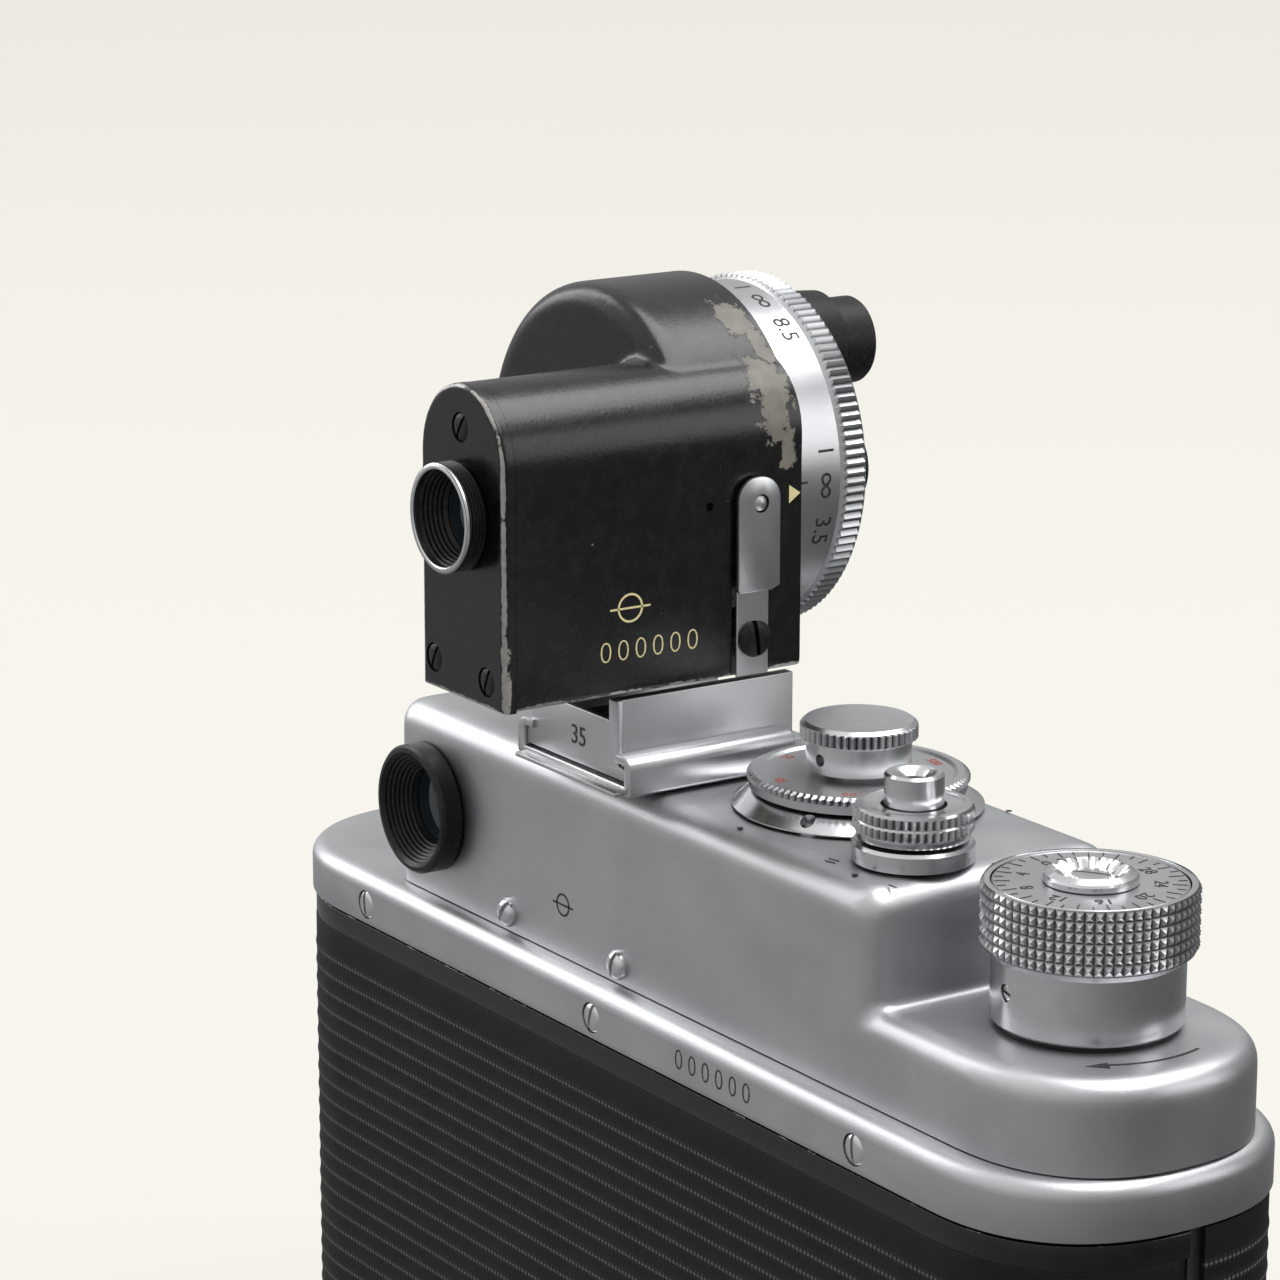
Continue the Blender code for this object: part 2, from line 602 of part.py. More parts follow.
def make_front_windows():
    """Glass of the viewfinder and rangefinder in the front of the housing, and the block behind."""
    outer = -(HOUSING_SIDE - GAP)
    inner = -(HOUSING_SIDE - SHEET)
    view = box("viewfinder_window", (EYEPIECE_X - VIEW_HALF_WIDTH, outer, EYEPIECE_Z - VIEW_HALF_HEIGHT),
               (EYEPIECE_X + VIEW_HALF_WIDTH, inner, EYEPIECE_Z + VIEW_HALF_HEIGHT))
    spot = rod("rangefinder_window", RANGE_WINDOW_RADIUS, -inner, -outer,
               (EYEPIECE_X - RANGE_BASE, 0, EYEPIECE_Z), "FRONT", SMALL_ROUND)
    half = 0.0050
    block = box("viewfinder_prism", (EYEPIECE_X - half, inner + 0.0030, EYEPIECE_Z - half),
                (EYEPIECE_X + half, HOUSING_SIDE - 0.0040, EYEPIECE_Z + half))
    for glass in (view, spot, block):
        finish(glass, OPTICAL_GLASS)


# ---- wind knob, film counter and film transport
def make_wind_knob():
    top = PLATFORM_TOP + WIND_HEIGHT
    low = PLATFORM_TOP + 0.0005
    waist = low + 0.0069
    recess = top - 0.0016
    dial_radius = WIND_KNURL_RADIUS - 0.0017
    profile = [
        (0, recess), (dial_radius, recess), (dial_radius, top), (WIND_KNURL_RADIUS - 0.0006, top),
        (WIND_KNURL_RADIUS, top - 0.0006), (WIND_KNURL_RADIUS, waist),
        (WIND_SKIRT_RADIUS, waist - 0.0004), (WIND_SKIRT_RADIUS, low), (SHAFT_RADIUS, low),
        (SHAFT_RADIUS, CHAMBER_TOP + GAP), (0, CHAMBER_TOP + GAP)]
    place = (WIND_X, WIND_Y, 0)
    finish(turned("wind_knob", profile, place, steps=FINE_ROUND), BRIGHT_CHROME)
    pin = 0.0016
    disc = washer("frame_counter_dial", dial_radius - GAP, pin + GAP, recess + GAP, top - 0.0002, place)
    finish(disc, SATIN_CHROME)
    nut_radius = 0.0045
    nut_low = top - 0.0002 + GAP
    nut = [(0, nut_low + 0.0009), (nut_radius - 0.0005, nut_low + 0.0009),
           (nut_radius, nut_low + 0.0004), (nut_radius, nut_low),
           (pin, nut_low), (pin, recess + GAP), (0, recess + GAP)]
    finish(turned("counter_nut", nut, place, steps=SMALL_ROUND), BRIGHT_CHROME)


def make_film_transport():
    top = CHAMBER_TOP - GAP
    low = SKIN_BOTTOM + 0.0055
    hub = SPOOL_RADIUS * 0.6
    flange = 0.0010
    spool = [(0, top), (SPOOL_RADIUS, top), (SPOOL_RADIUS, top - flange), (hub, top - flange),
             (hub, low + flange),
             (SPOOL_RADIUS, low + flange), (SPOOL_RADIUS, low), (0, low)]
    finish(turned("takeup_spool", spool, (WIND_X, WIND_Y, 0)), BLACK_ANODISED)
    journal = 0.0020
    core = 0.0040
    near = GATE_HEIGHT / 2 + 0.0002
    far = near + 0.0040
    drum = [
        (0, top), (journal, top), (journal, LENS_Z + far), (SPROCKET_RADIUS, LENS_Z + far),
        (SPROCKET_RADIUS, LENS_Z + near), (core, LENS_Z + near), (core, LENS_Z - near),
        (SPROCKET_RADIUS, LENS_Z - near), (SPROCKET_RADIUS, LENS_Z - far), (journal, LENS_Z - far),
        (journal, low), (0, low)]
    finish(turned("sprocket_drum", drum, (SPROCKET_X, SPROCKET_Y, 0)), BRIGHT_CHROME)


# ---- rewind knob and dioptre lever
def make_rewind():
    place = (REWIND_X, REWIND_Y, 0)
    ring_low = SHELF_HEIGHT + GAP
    ring_high = ring_low + 0.0020
    knob_low = ring_high + GAP
    knob_high = SHELF_HEIGHT + REWIND_HEIGHT
    shaft = 0.0022
    sleeve_top = knob_low - GAP
    sleeve = washer("rewind_sleeve", SLEEVE_RADIUS, shaft + GAP, CHAMBER_TOP + GAP, sleeve_top, place,
                    steps=SMALL_ROUND)
    knob = [
        (0, knob_high), (REWIND_RADIUS - 0.0008, knob_high), (REWIND_RADIUS, knob_high - 0.0008),
        (REWIND_RADIUS, knob_low + 0.0012), (REWIND_RADIUS - 0.0010, knob_low), (shaft + GAP, knob_low),
        (shaft + GAP, knob_high - 0.0020), (0, knob_high - 0.0020)]
    knob = turned("rewind_knob", knob, place)
    fork_low = CHAMBER_TOP - 0.0060
    fork = rod("rewind_fork", shaft, fork_low, knob_high - 0.0023, place, steps=SMALL_ROUND)
    slot = box("fork_cut", (REWIND_X - 0.0006, REWIND_Y - FAR, fork_low - FAR),
               (REWIND_X + 0.0006, REWIND_Y + FAR, fork_low + 0.0030))
    cut(fork, slot)
    lever = washer("dioptre_lever", REWIND_RADIUS, SLEEVE_RADIUS + GAP, ring_low, ring_high, place)
    tab = slab(
        "dioptre_tab",
        rounded_rectangle(
            REWIND_X - 0.0020, REWIND_X + 0.0020, REWIND_Y - REWIND_RADIUS - 0.0035, REWIND_Y - 0.0060,
            0.0012, 2),
        ring_low, ring_high)
    join(lever, tab)
    for piece, look in ((sleeve, BRIGHT_CHROME), (knob, BRIGHT_CHROME), (fork, BRIGHT_CHROME),
                        (lever, SATIN_CHROME)):
        finish(piece, look)


# ---- speed dial and shutter release
def make_speed_dial():
    place = (DIAL_X, DIAL_Y, 0)
    low = HOUSING_TOP + GAP
    bore = DIAL_SHAFT_RADIUS + GAP
    flange_top = low + 0.0014
    flange = turned("speed_dial_flange", [(DIAL_FLANGE_RADIUS - 0.0010, flange_top),
                                          (DIAL_FLANGE_RADIUS, low + 0.0004), (DIAL_FLANGE_RADIUS, low),
                                          (bore, low), (bore, flange_top)], place, steps=FINE_ROUND)
    ring_top = flange_top + GAP + 0.0017
    ring = washer("sync_ring", DIAL_RING_RADIUS, bore, flange_top + GAP, ring_top, place, steps=FINE_ROUND)
    post_low = ring_top + GAP
    cap_top = HOUSING_TOP + DIAL_HEIGHT
    cap_low = cap_top - 0.0026
    post = DIAL_CAP_RADIUS - 0.0006
    cavity = cap_top - 0.0022
    knob = turned(
        "speed_knob",
        [
            (0, cap_top), (DIAL_CAP_RADIUS - 0.0003, cap_top), (DIAL_CAP_RADIUS, cap_top - 0.0003),
            (DIAL_CAP_RADIUS, cap_low), (post, cap_low - 0.0003), (post, post_low), (bore, post_low),
            (bore, cavity), (0, cavity)],
        place)
    shaft = rod("speed_shaft", DIAL_SHAFT_RADIUS, HOUSING_TOP - 0.0050, cavity - GAP, place,
                steps=SMALL_ROUND)
    for piece in (flange, ring, knob, shaft):
        finish(piece, BRIGHT_CHROME)


def make_release():
    place = (RELEASE_X, RELEASE_Y, 0)
    low = HOUSING_TOP + GAP
    bore = BUTTON_RADIUS + GAP
    foot_top = low + 0.0020
    foot = washer("release_foot", RELEASE_RADIUS, bore, low, foot_top, place, edge=0.0002)
    collar_top = HOUSING_TOP + 0.0058
    collar_radius = RELEASE_RADIUS - 0.0001
    collar = washer("release_collar", collar_radius, bore, foot_top + GAP, collar_top, place, edge=0.0005)
    top = HOUSING_TOP + 0.0088
    button = turned(
        "release_button",
        [
            (0, top - 0.0025), (0.0010, top - 0.0012), (0.0021, top), (BUTTON_RADIUS - 0.0003, top),
            (BUTTON_RADIUS, top - 0.0003), (BUTTON_RADIUS, HOUSING_TOP - 0.0050),
            (0, HOUSING_TOP - 0.0050)],
        place, steps=SMALL_ROUND)
    for piece in (foot, collar, button):
        finish(piece, BRIGHT_CHROME)


# ---- lens
def make_lens():
    """Screw-mount lens. Heights of the profiles are distances in front of the body's middle plane."""
    place = (0, 0, LENS_Z)
    seat = SKIN_Y + GAP
    ring_front = HALF_DEPTH + 0.0022
    base_back = ring_front + GAP
    base_front = base_back + 0.0049
    focus_back = base_front + GAP
    focus_front = focus_back + 0.0087
    head_back = focus_front + GAP
    front = HALF_DEPTH + LENS_REACH
    sleeve = LENS_BORE_RADIUS - 0.0032
    thread_back = HALF_DEPTH - 0.0046
    barrel = LENS_RING_RADIUS - 0.0005
    head = LENS_RING_RADIUS - 0.0030
    bore = sleeve - 0.0017
    mount = washer("lens_mount_ring", LENS_RING_RADIUS, LENS_BORE_RADIUS, seat, ring_front, place,
                   "FRONT", FINE_ROUND, edge=0.0004)
    base = turned(
        "lens_base",
        [
            (barrel, base_front), (barrel, base_back), (LENS_BORE_RADIUS - GAP, base_back),
            (LENS_BORE_RADIUS - GAP, thread_back), (sleeve + GAP, thread_back),
            (sleeve + GAP, base_front)],
        place, "FRONT")
    focus = washer("focus_ring", barrel, sleeve + GAP, focus_back, focus_front, place, "FRONT", edge=0.0004)
    lens_head = turned(
        "lens_head",
        [
            (head - 0.0020, front), (head, front - 0.0015), (head, head_back), (sleeve, head_back),
            (sleeve, thread_back), (bore, thread_back), (bore, front - 0.0040), (bore + 0.0008, front)],
        place, "FRONT")
    aperture = washer("aperture_ring", head + 0.0015, head + GAP, head_back + 0.0027,
                      head_back + 0.0067, place, "FRONT")
    glass = bore - GAP
    front_lens = turned(
        "front_lens",
        [
            (0, front - 0.0028), (glass * 0.5, front - 0.0034), (glass, front - 0.0062),
            (glass, front - 0.0085), (0, front - 0.0085)],
        place, "FRONT")
    rear_lens = turned("rear_lens", [(0, thread_back + 0.0040), (glass, thread_back + 0.0040),
                                     (glass, thread_back + 0.0022), (glass * 0.5, thread_back + 0.0010),
                                     (0, thread_back + 0.0008)], place, "FRONT")
    for piece, look in ((mount, SATIN_CHROME), (base, SATIN_CHROME), (focus, SATIN_CHROME),
                        (lens_head, SATIN_CHROME), (aperture, BRIGHT_CHROME),
                        (front_lens, OPTICAL_GLASS), (rear_lens, OPTICAL_GLASS)):
        finish(piece, look)
    pivot("lens_axis", place, focus, lens_head, aperture, front_lens, rear_lens)


def make_self_timer():
    hub_front = HALF_DEPTH + 0.0029
    place = (TIMER_X, 0, TIMER_Z)
    lever = turned(
        "self_timer_lever",
        [
            (0, hub_front), (TIMER_HUB_RADIUS - 0.0006, hub_front),
            (TIMER_HUB_RADIUS, hub_front - 0.0006), (TIMER_HUB_RADIUS, SKIN_Y + GAP), (0, SKIN_Y + GAP)],
        (0, 0, 0), "FRONT", SMALL_ROUND)
    length = 0.0180
    half = 0.0026
    arm = slab("self_timer_arm", rounded_rectangle(-half, half, -length, half, half * 0.9, 4),
               -hub_front + 0.0004, -HALF_DEPTH - 0.0010, "Y")
    join(lever, arm)
    lever.location = place
    arm.location = place
    finish(lever, BRIGHT_CHROME)


def make_sync_socket():
    front = HALF_DEPTH + 0.0020
    hole = 0.0012
    back = SKIN_Y + GAP
    bottom = SKIN_Y + 0.0012
    profile = [(0, bottom), (hole, bottom), (hole, front), (SYNC_RADIUS - 0.0005, front),
               (SYNC_RADIUS, front - 0.0005),
               (SYNC_RADIUS, back), (0, back)]
    finish(turned("sync_socket", profile, (SYNC_X, 0, TIMER_Z), "FRONT", SMALL_ROUND), BRIGHT_CHROME)


# ---- removable back
def make_back_cover():
    """Back wall and base plate in one piece, drawn off downwards."""
    cover = slab("back_cover", body_outline(COVERING_INSET), 0, BASE_THICKNESS)
    round_rim(cover, 0, 0.0006, 2)
    wall = slab("cover_wall", body_outline(SKIN_INSET), BASE_THICKNESS / 2, SKIN_TOP)
    wall_inner = slab("cover_inside", body_outline(SKIN_INSET + COVER_WALL), -FAR, SHELF_HEIGHT + FAR)
    cut(wall, wall_inner, back_half("cover_seam"))
    for name, x in (("left", LOCK_X), ("right", -LOCK_X)):
        cut(cover, rod("lock_hole_" + name, LOCK_RADIUS + GAP, -FAR, FAR, (x, 0, 0), steps=FINE_ROUND))
    cut(cover, rod("bush_hole", BUSH_RADIUS + GAP, -FAR, FAR, (BUSH_X, BUSH_Y, 0), steps=SMALL_ROUND))
    join(cover, wall)
    return finish(cover, BLACK_ENAMEL)


def make_pressure_plate():
    low_x = SPROCKET_X + SPROCKET_RADIUS + 0.0010
    plate_front = FILM_Y + GAP
    plate = box("pressure_plate", (low_x, plate_front, LENS_Z - 0.0160),
                (BLOCK_HALF - 0.0030, plate_front + 0.0008, LENS_Z + 0.0160))
    finish(plate, BLACK_ENAMEL)
    near = plate_front + 0.0008 + GAP
    far = COVER_INNER_Y - GAP
    half, thick = 0.0150, 0.0004
    bow = [(half * step / 8, near + (far - thick - near) * (step / 8) ** 2) for step in range(-8, 9)]
    outline = bow + [(x, y + thick) for x, y in reversed(bow)]
    spring = slab("pressure_spring", outline, LENS_Z - 0.0050, LENS_Z + 0.0050)
    finish(spring, BRIGHT_CHROME)


def make_lock(side, x):
    """Turn key in the base plate with a half-moon handle that folds into its face."""
    face = 0.0002
    disc_top = BASE_THICKNESS - GAP
    stem = 0.0025
    key_top = SKIN_BOTTOM + 0.0032
    profile = [(0, key_top), (stem, key_top), (stem, disc_top), (LOCK_RADIUS, disc_top),
               (LOCK_RADIUS, face), (0, face)]
    disc = turned("lock_disc_" + side, profile, (x, 0, 0))
    cam = box("lock_cam_" + side, (x - 0.0015, -0.0060, key_top - 0.0014),
              (x + 0.0015, 0.0015, key_top - 0.0002))
    join(disc, cam)
    handle_radius, thick = 0.0064, 0.0007
    hinge_z = face + 0.0001 + thick / 2
    steps = 12
    moon = [(x + handle_radius * math.cos(math.pi * step / steps),
             handle_radius * math.sin(math.pi * step / steps)) for step in range(steps + 1)]
    handle = slab("lock_handle_" + side, moon, hinge_z - thick / 2, hinge_z + thick / 2)
    wide = handle_radius + GAP
    recess = [(x + wide, -thick), (x + wide, 0)]
    recess += [(x + wide * math.cos(math.pi * step / steps),
                wide * math.sin(math.pi * step / steps)) for step in range(1, steps + 1)]
    recess += [(x - wide, -thick)]
    cut(disc, slab("lock_recess_" + side, recess, -FAR, hinge_z + thick / 2 + GAP))
    finish(disc, BRIGHT_CHROME)
    finish(handle, BRIGHT_CHROME)
    pivot("lock_handle_axis_" + side, (x, 0, hinge_z), handle)


# ---- accessory shoe and turret finder
def make_accessory_shoe():
    """Folded channel that holds the finder's foot."""
    low, floor = HOUSING_TOP + GAP, SHOE_FLOOR
    lip = SHOE_TOP - SHEET
    inner = SHOE_HALF - SHOE_WALL
    mouth = inner - LIP_REACH
    right = [(SHOE_HALF, low), (SHOE_HALF, SHOE_TOP - 0.0007), (SHOE_HALF - 0.0007, SHOE_TOP),
             (mouth, SHOE_TOP), (mouth, lip), (inner, lip), (inner, floor)]
    outline = [(SHOE_X + x, z) for x, z in right] + [(SHOE_X - x, z) for x, z in reversed(right)]
    shoe = slab("accessory_shoe", outline, SHOE_BACK - SHOE_LENGTH, SHOE_BACK, "Y")
    return finish(shoe, BRIGHT_CHROME)


def make_finder_foot():
    """Slotted-in plate with two upright walls that carry the finder."""
    low = SHOE_FLOOR + GAP
    plate_half = SHOE_HALF - SHOE_WALL - GAP
    plate_top = SHOE_TOP - SHEET - GAP
    neck = plate_half + GAP - LIP_REACH - GAP
    floor = SHOE_TOP + 0.0008
    wall = 0.0014
    top = FINDER_BOTTOM - 2 * GAP
    right = [(plate_half, low), (plate_half, plate_top), (neck, plate_top), (neck, top),
             (neck - wall, top), (neck - wall, floor)]
    outline = [(SHOE_X + x, z) for x, z in right] + [(SHOE_X - x, z) for x, z in reversed(right)]
    foot = slab("finder_foot", outline, FINDER_FRONT + 0.0005, SHOE_BACK - 0.0008, "Y")
    return finish(foot, BRIGHT_CHROME)


def make_finder_body():
    """Casting: a tube with a round top, joined to the drum behind the turret."""
    tube_back = FINDER_BACK - 0.0018
    axis = (TURRET_X, 0, TURRET_Z)
    body = slab("finder_body", arch(FINDER_HALF, FINDER_BOTTOM, ARCH_Z, FINDER_X), FINDER_FRONT,
                tube_back, "Y")
    drum = rod("finder_drum", DRUM_RADIUS, FINDER_FRONT, DRUM_BACK, axis, "BACK", 2 * ROUND)
    join(body, drum)
    inner = FINDER_HALF - FINDER_WALL
    finder_bore = slab("finder_inside", arch(inner, FINDER_BOTTOM + FINDER_WALL, ARCH_Z, FINDER_X),
                       FINDER_FRONT + FINDER_WALL, FAR, "Y")
    drum_bore = rod("drum_inside", DRUM_RADIUS - 2 * FINDER_WALL, -FAR, DRUM_BACK - FINDER_WALL, axis,
                    "BACK")
    spindle_hole = rod("spindle_cut", SPINDLE_RADIUS + GAP, -FAR, FAR, axis, "BACK", SMALL_ROUND)
    cut(body, finder_bore, drum_bore, spindle_hole)
    return finish(body, BLACK_ENAMEL)


def make_finder_rear():
    cap_front = FINDER_BACK - 0.0015
    place = (FINDER_X, 0, TURRET_Z)
    tube = FINDER_EYE_RADIUS - 0.0008
    cap = slab("finder_rear_cap", arch(FINDER_HALF, FINDER_BOTTOM, ARCH_Z, FINDER_X), cap_front,
               FINDER_BACK, "Y")
    cut(cap, rod("cap_cut", tube + GAP, 0, FAR, place, "BACK", SMALL_ROUND))
    finish(cap, BLACK_ENAMEL)
    face = FINDER_BACK + GAP
    rim = FINDER_BACK + FINDER_EYE_REACH
    eye = turned(
        "finder_eyepiece",
        [
            (FINDER_EYE_RADIUS, rim), (FINDER_EYE_RADIUS, face), (tube, face), (tube, cap_front),
            (FINDER_EYE_BORE, cap_front), (FINDER_EYE_BORE, face + 0.0010),
            (FINDER_EYE_RADIUS - 0.0007, rim)],
        place, "BACK")
    finish(eye, BLACK_ANODISED)
    glass = FINDER_EYE_BORE - GAP
    lens = turned("finder_eye_lens", [(0, face + 0.0006), (glass, face - 0.0002), (glass, cap_front),
                                      (0, cap_front)], place, "BACK", SMALL_ROUND)
    finish(lens, OPTICAL_GLASS)
    half = FINDER_HALF - FINDER_WALL - 0.0006
    prism = box("finder_prism", (FINDER_X - half, DRUM_BACK + 0.0020, TURRET_Z - half),
                (FINDER_X + half, cap_front - 0.0030, TURRET_Z + half))
    finish(prism, OPTICAL_GLASS)


def make_turret():
    """Engraved and knurled ring with five finder lenses, on a spindle in the drum."""
    place = (TURRET_X, 0, TURRET_Z)
    front = -TURRET_FRONT
    back = -FINDER_FRONT + GAP
    plate_back = front - 0.0020
    band_front = front - 0.0029
    shell = TURRET_BAND_RADIUS - 0.0015
    ring = turned(
        "turret_ring",
        [
            (TURRET_KNURL_RADIUS - 0.0004, front), (TURRET_KNURL_RADIUS, front - 0.0004),
            (TURRET_KNURL_RADIUS, band_front), (TURRET_BAND_RADIUS, band_front - 0.0004),
            (TURRET_BAND_RADIUS, back), (shell, back), (shell, plate_back),
            (SPINDLE_RADIUS + GAP, plate_back), (SPINDLE_RADIUS + GAP, front)],
        place, "FRONT", FINE_ROUND)
    tubes = []
    for index, reach in enumerate(TURRET_TUBES):
        angle = math.pi - index * math.tau / len(TURRET_TUBES)
        x, z = TURRET_X + TURRET_PITCH * math.cos(angle), TURRET_Z + TURRET_PITCH * math.sin(angle)
        cut(ring, rod("turret_hole_%d" % (index + 1), TUBE_RADIUS + GAP, 0, FAR, (x, 0, z), "FRONT",
                      SMALL_ROUND))
        collar_back = front + GAP
        collar_front = collar_back + min(0.0040, reach - 0.0016)
        tube = turned(
            "turret_lens_%d" % (index + 1),
            [
                (TUBE_RADIUS - 0.0003, front + reach), (TUBE_RADIUS, front + reach - 0.0003),
                (TUBE_RADIUS, collar_front + 0.0006), (TUBE_COLLAR, collar_front),
                (TUBE_COLLAR, collar_back), (TUBE_RADIUS, collar_back), (TUBE_RADIUS, plate_back),
                (TUBE_BORE, plate_back), (TUBE_BORE, front + reach)],
            (x, 0, z), "FRONT", SMALL_ROUND)
        tubes.append(finish(tube, BLACK_ANODISED))
    finish(ring, BRIGHT_CHROME)
    head = 0.0036
    head_back = front + GAP
    nut_front = -DRUM_BACK - GAP
    spindle = turned(
        "turret_spindle",
        [
            (0, head_back + 0.0016), (head, head_back + 0.0012), (head, head_back),
            (SPINDLE_RADIUS, head_back), (SPINDLE_RADIUS, nut_front), (head, nut_front),
            (head, nut_front - 0.0012), (0, nut_front - 0.0012)],
        place, "FRONT", SMALL_ROUND)
    finish(spindle, BRIGHT_CHROME)
    pivot("turret_axis", place, *tubes)


def make_detent():
    """Leaf spring on the finder's side that clicks the turret into place, and its screw."""
    outer = FINDER_X - FINDER_HALF
    inner_face, outer_face = outer - GAP, outer - GAP - 0.0005
    base = FINDER_BOTTOM
    screw_z = base + 0.0039
    shoulder = base + 0.0088
    slope = 0.0004
    leaf = [(-0.0018, base), (0.0022, base), (0.0022, shoulder), (0.0025, shoulder + slope)]
    tip = base + 0.0206
    corner = 0.0018
    for centre_y, first in ((0.0025 - corner, 0), (-0.0026 + corner, 90)):
        for step in range(5):
            angle = math.radians(first + 90 * step / 4)
            leaf.append((centre_y + corner * math.cos(angle), tip - corner + corner * math.sin(angle)))
    leaf += [(-0.0026, shoulder + slope), (-0.0018, shoulder)]
    spring = slab("detent_spring", leaf, outer_face, inner_face, "X")
    cut(spring, rod("detent_cut", 0.0011, -FAR, FAR, (0, 0.0003, screw_z), "LEFT", 12))
    finish(spring, BRIGHT_CHROME)
    head_base = -(outer_face - GAP)
    screw = turned(
        "detent_screw",
        [
            (0, head_base + 0.0009), (0.0017, head_base + 0.0007), (0.0019, head_base),
            (0.0008, head_base), (0.0008, -inner_face), (0, -inner_face)],
        (0, 0.0003, screw_z), "RIGHT", SMALL_ROUND)
    finish(screw, BLACK_ANODISED)


make_chassis()
make_shutter_curtain()
make_front_covering()
make_tripod_bush()
make_top_deck()
make_top_housing()
make_eyepiece()
make_front_windows()
make_wind_knob()
make_film_transport()
make_rewind()
make_speed_dial()
make_release()
make_lens()
make_self_timer()
make_sync_socket()
make_back_cover()
make_back_covering()
make_pressure_plate()
make_lock("left", LOCK_X)
make_lock("right", -LOCK_X)
make_accessory_shoe()
make_finder_foot()
make_finder_body()
make_finder_rear()
make_turret()
make_detent()
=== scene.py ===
"""Looks of a rangefinder film camera with a turret finder in its accessory shoe.

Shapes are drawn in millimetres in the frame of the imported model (+X rewind end, +Y back, +Z up)
and become metres when a piece is finished.
"""
import math

import bmesh
import bpy
from mathutils import Matrix, Vector


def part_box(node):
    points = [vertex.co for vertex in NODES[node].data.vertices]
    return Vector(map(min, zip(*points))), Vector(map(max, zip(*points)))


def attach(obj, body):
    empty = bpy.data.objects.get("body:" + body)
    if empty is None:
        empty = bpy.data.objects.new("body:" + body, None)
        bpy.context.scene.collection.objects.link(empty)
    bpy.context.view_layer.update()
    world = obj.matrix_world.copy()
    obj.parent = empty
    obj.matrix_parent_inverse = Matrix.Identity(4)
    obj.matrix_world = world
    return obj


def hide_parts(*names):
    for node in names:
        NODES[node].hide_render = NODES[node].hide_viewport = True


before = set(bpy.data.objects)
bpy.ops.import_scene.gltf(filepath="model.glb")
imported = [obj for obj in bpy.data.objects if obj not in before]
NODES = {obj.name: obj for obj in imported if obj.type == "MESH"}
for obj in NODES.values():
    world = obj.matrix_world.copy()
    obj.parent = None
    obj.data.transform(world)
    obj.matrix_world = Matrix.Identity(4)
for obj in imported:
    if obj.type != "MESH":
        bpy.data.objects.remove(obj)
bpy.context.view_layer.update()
MM = 0.001

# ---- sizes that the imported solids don't give by their boxes
END_REACH = 17.4             # length of the body's rounded ends
END_POWER = 2.4              # bluntness of those ends
SKIN_INSET = 1.0             # bare casting, inside the deck's outline
COVER_INSET = 0.2            # outer face of the covering
SHEET = 1.0                  # thickness of the deck's brass
DECK_EDGE = 1.8              # rounding of the deck's upper edge
HOUSING_EDGE = 2.8           # rounding of the housing's edges
PLATFORM_EDGE = 2.2          # rounding of the platform's upper edge
PLATFORM_RISE = 9.1          # platform at the winding end, above the shelf
STEP_FROM_END = 29.8         # step up to the housing, from the body's winding end
FINE = 96                    # steps round a turned piece
DRUM_RADIUS = 19.3           # round back of the turret in the finder's casting

# ---- places of small things, in millimetres; the last number is a slot's or a bar's turn in degrees
DECK_SCREWS = ((48.07, 98), (2.58, 76), (-42.45, 96))                       # x
HOUSING_SCREWS = ((22.39, 62), (1.31, 78))                                  # x
CAP_SCREWS = ((7.15, 122.5, 58), (12.45, 98.15, 64), (2.55, 97.7, 70))      # x, z
DECK_DOTS = ((-16.55, 12.6), (-35.17, 12.4), (-39.67, -0.81), (-26.4, -13.0))  # x, y
DECK_BARS = ((-30.5, 11.9, 1.3, 12), (-30.2, 11.2, 1.3, 12), (-40.0, 11.6, 1.2, 0))  # x, y, length
FILL = 0.03                  # height of a paint-filled mark above its surface
SCREW_DROP = 3.45            # deck screws below the shelf
DETENT = (-0.24, 112.85)     # y and z of the detent pin


def cad(node):
    """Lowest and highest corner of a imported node, in millimetres."""
    low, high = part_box(node)
    return low / MM, high / MM


def middle(node):
    low, high = cad(node)
    return (low + high) / 2


DECK_LOW, DECK_HIGH = cad("top_deck")
HALF_LENGTH, HALF_DEPTH = DECK_HIGH.x, DECK_HIGH.y
SHELF, BAND_BOTTOM = DECK_HIGH.z, DECK_LOW.z
HOUSING_LOW, HOUSING_HIGH = cad("top_housing")
PLATFORM = SHELF + PLATFORM_RISE
STEP_X = STEP_FROM_END - HALF_LENGTH
CAP_LOW, CAP_HIGH = cad("finder_rear_cap")
FINDER_HALF = (CAP_HIGH.x - CAP_LOW.x) / 2
FINDER_X = (CAP_HIGH.x + CAP_LOW.x) / 2
RING_LOW, RING_HIGH = cad("turret_ring")
TURRET_X, TURRET_Z = (RING_LOW.x + RING_HIGH.x) / 2, (RING_LOW.z + RING_HIGH.z) / 2
ARCH_Z = CAP_HIGH.z - FINDER_HALF


# ---- materials
BLASTED_GRAIN = 0.16         # mm, drawn coarser than the real 0.05 so that it still shows
TOOL_LINES = 0.22            # mm between turned lines, drawn coarser than the real 0.05
BRUSHED_GRAIN = 0.3          # mm, drawn coarser than the real 0.1
ENAMEL_SKIN = 0.35           # mm, true to the enamel's orange peel
MACHINED_GRAIN = 0.2         # mm, drawn coarser than the real 0.05
BEAD_PITCH = 0.62            # mm along a rib of the covering, true size
CROSS_PITCH = 0.42           # mm between the fine lines across a rib, true size
PEBBLE = 0.22                # mm, true size
BLEND = {"out": 2, "data_type": "RGBA"}  # a Mix node of colours takes them as its inputs 6 and 7


def linear(code):
    """sRGB hex colour as linear RGBA."""
    channels = [int(code[place:place + 2], 16) / 255 for place in (1, 3, 5)]
    return (*[c / 12.92 if c <= 0.04045 else ((c + 0.055) / 1.055) ** 2.4 for c in channels], 1.0)


def grey(value):
    return (value, value, value, 1.0)


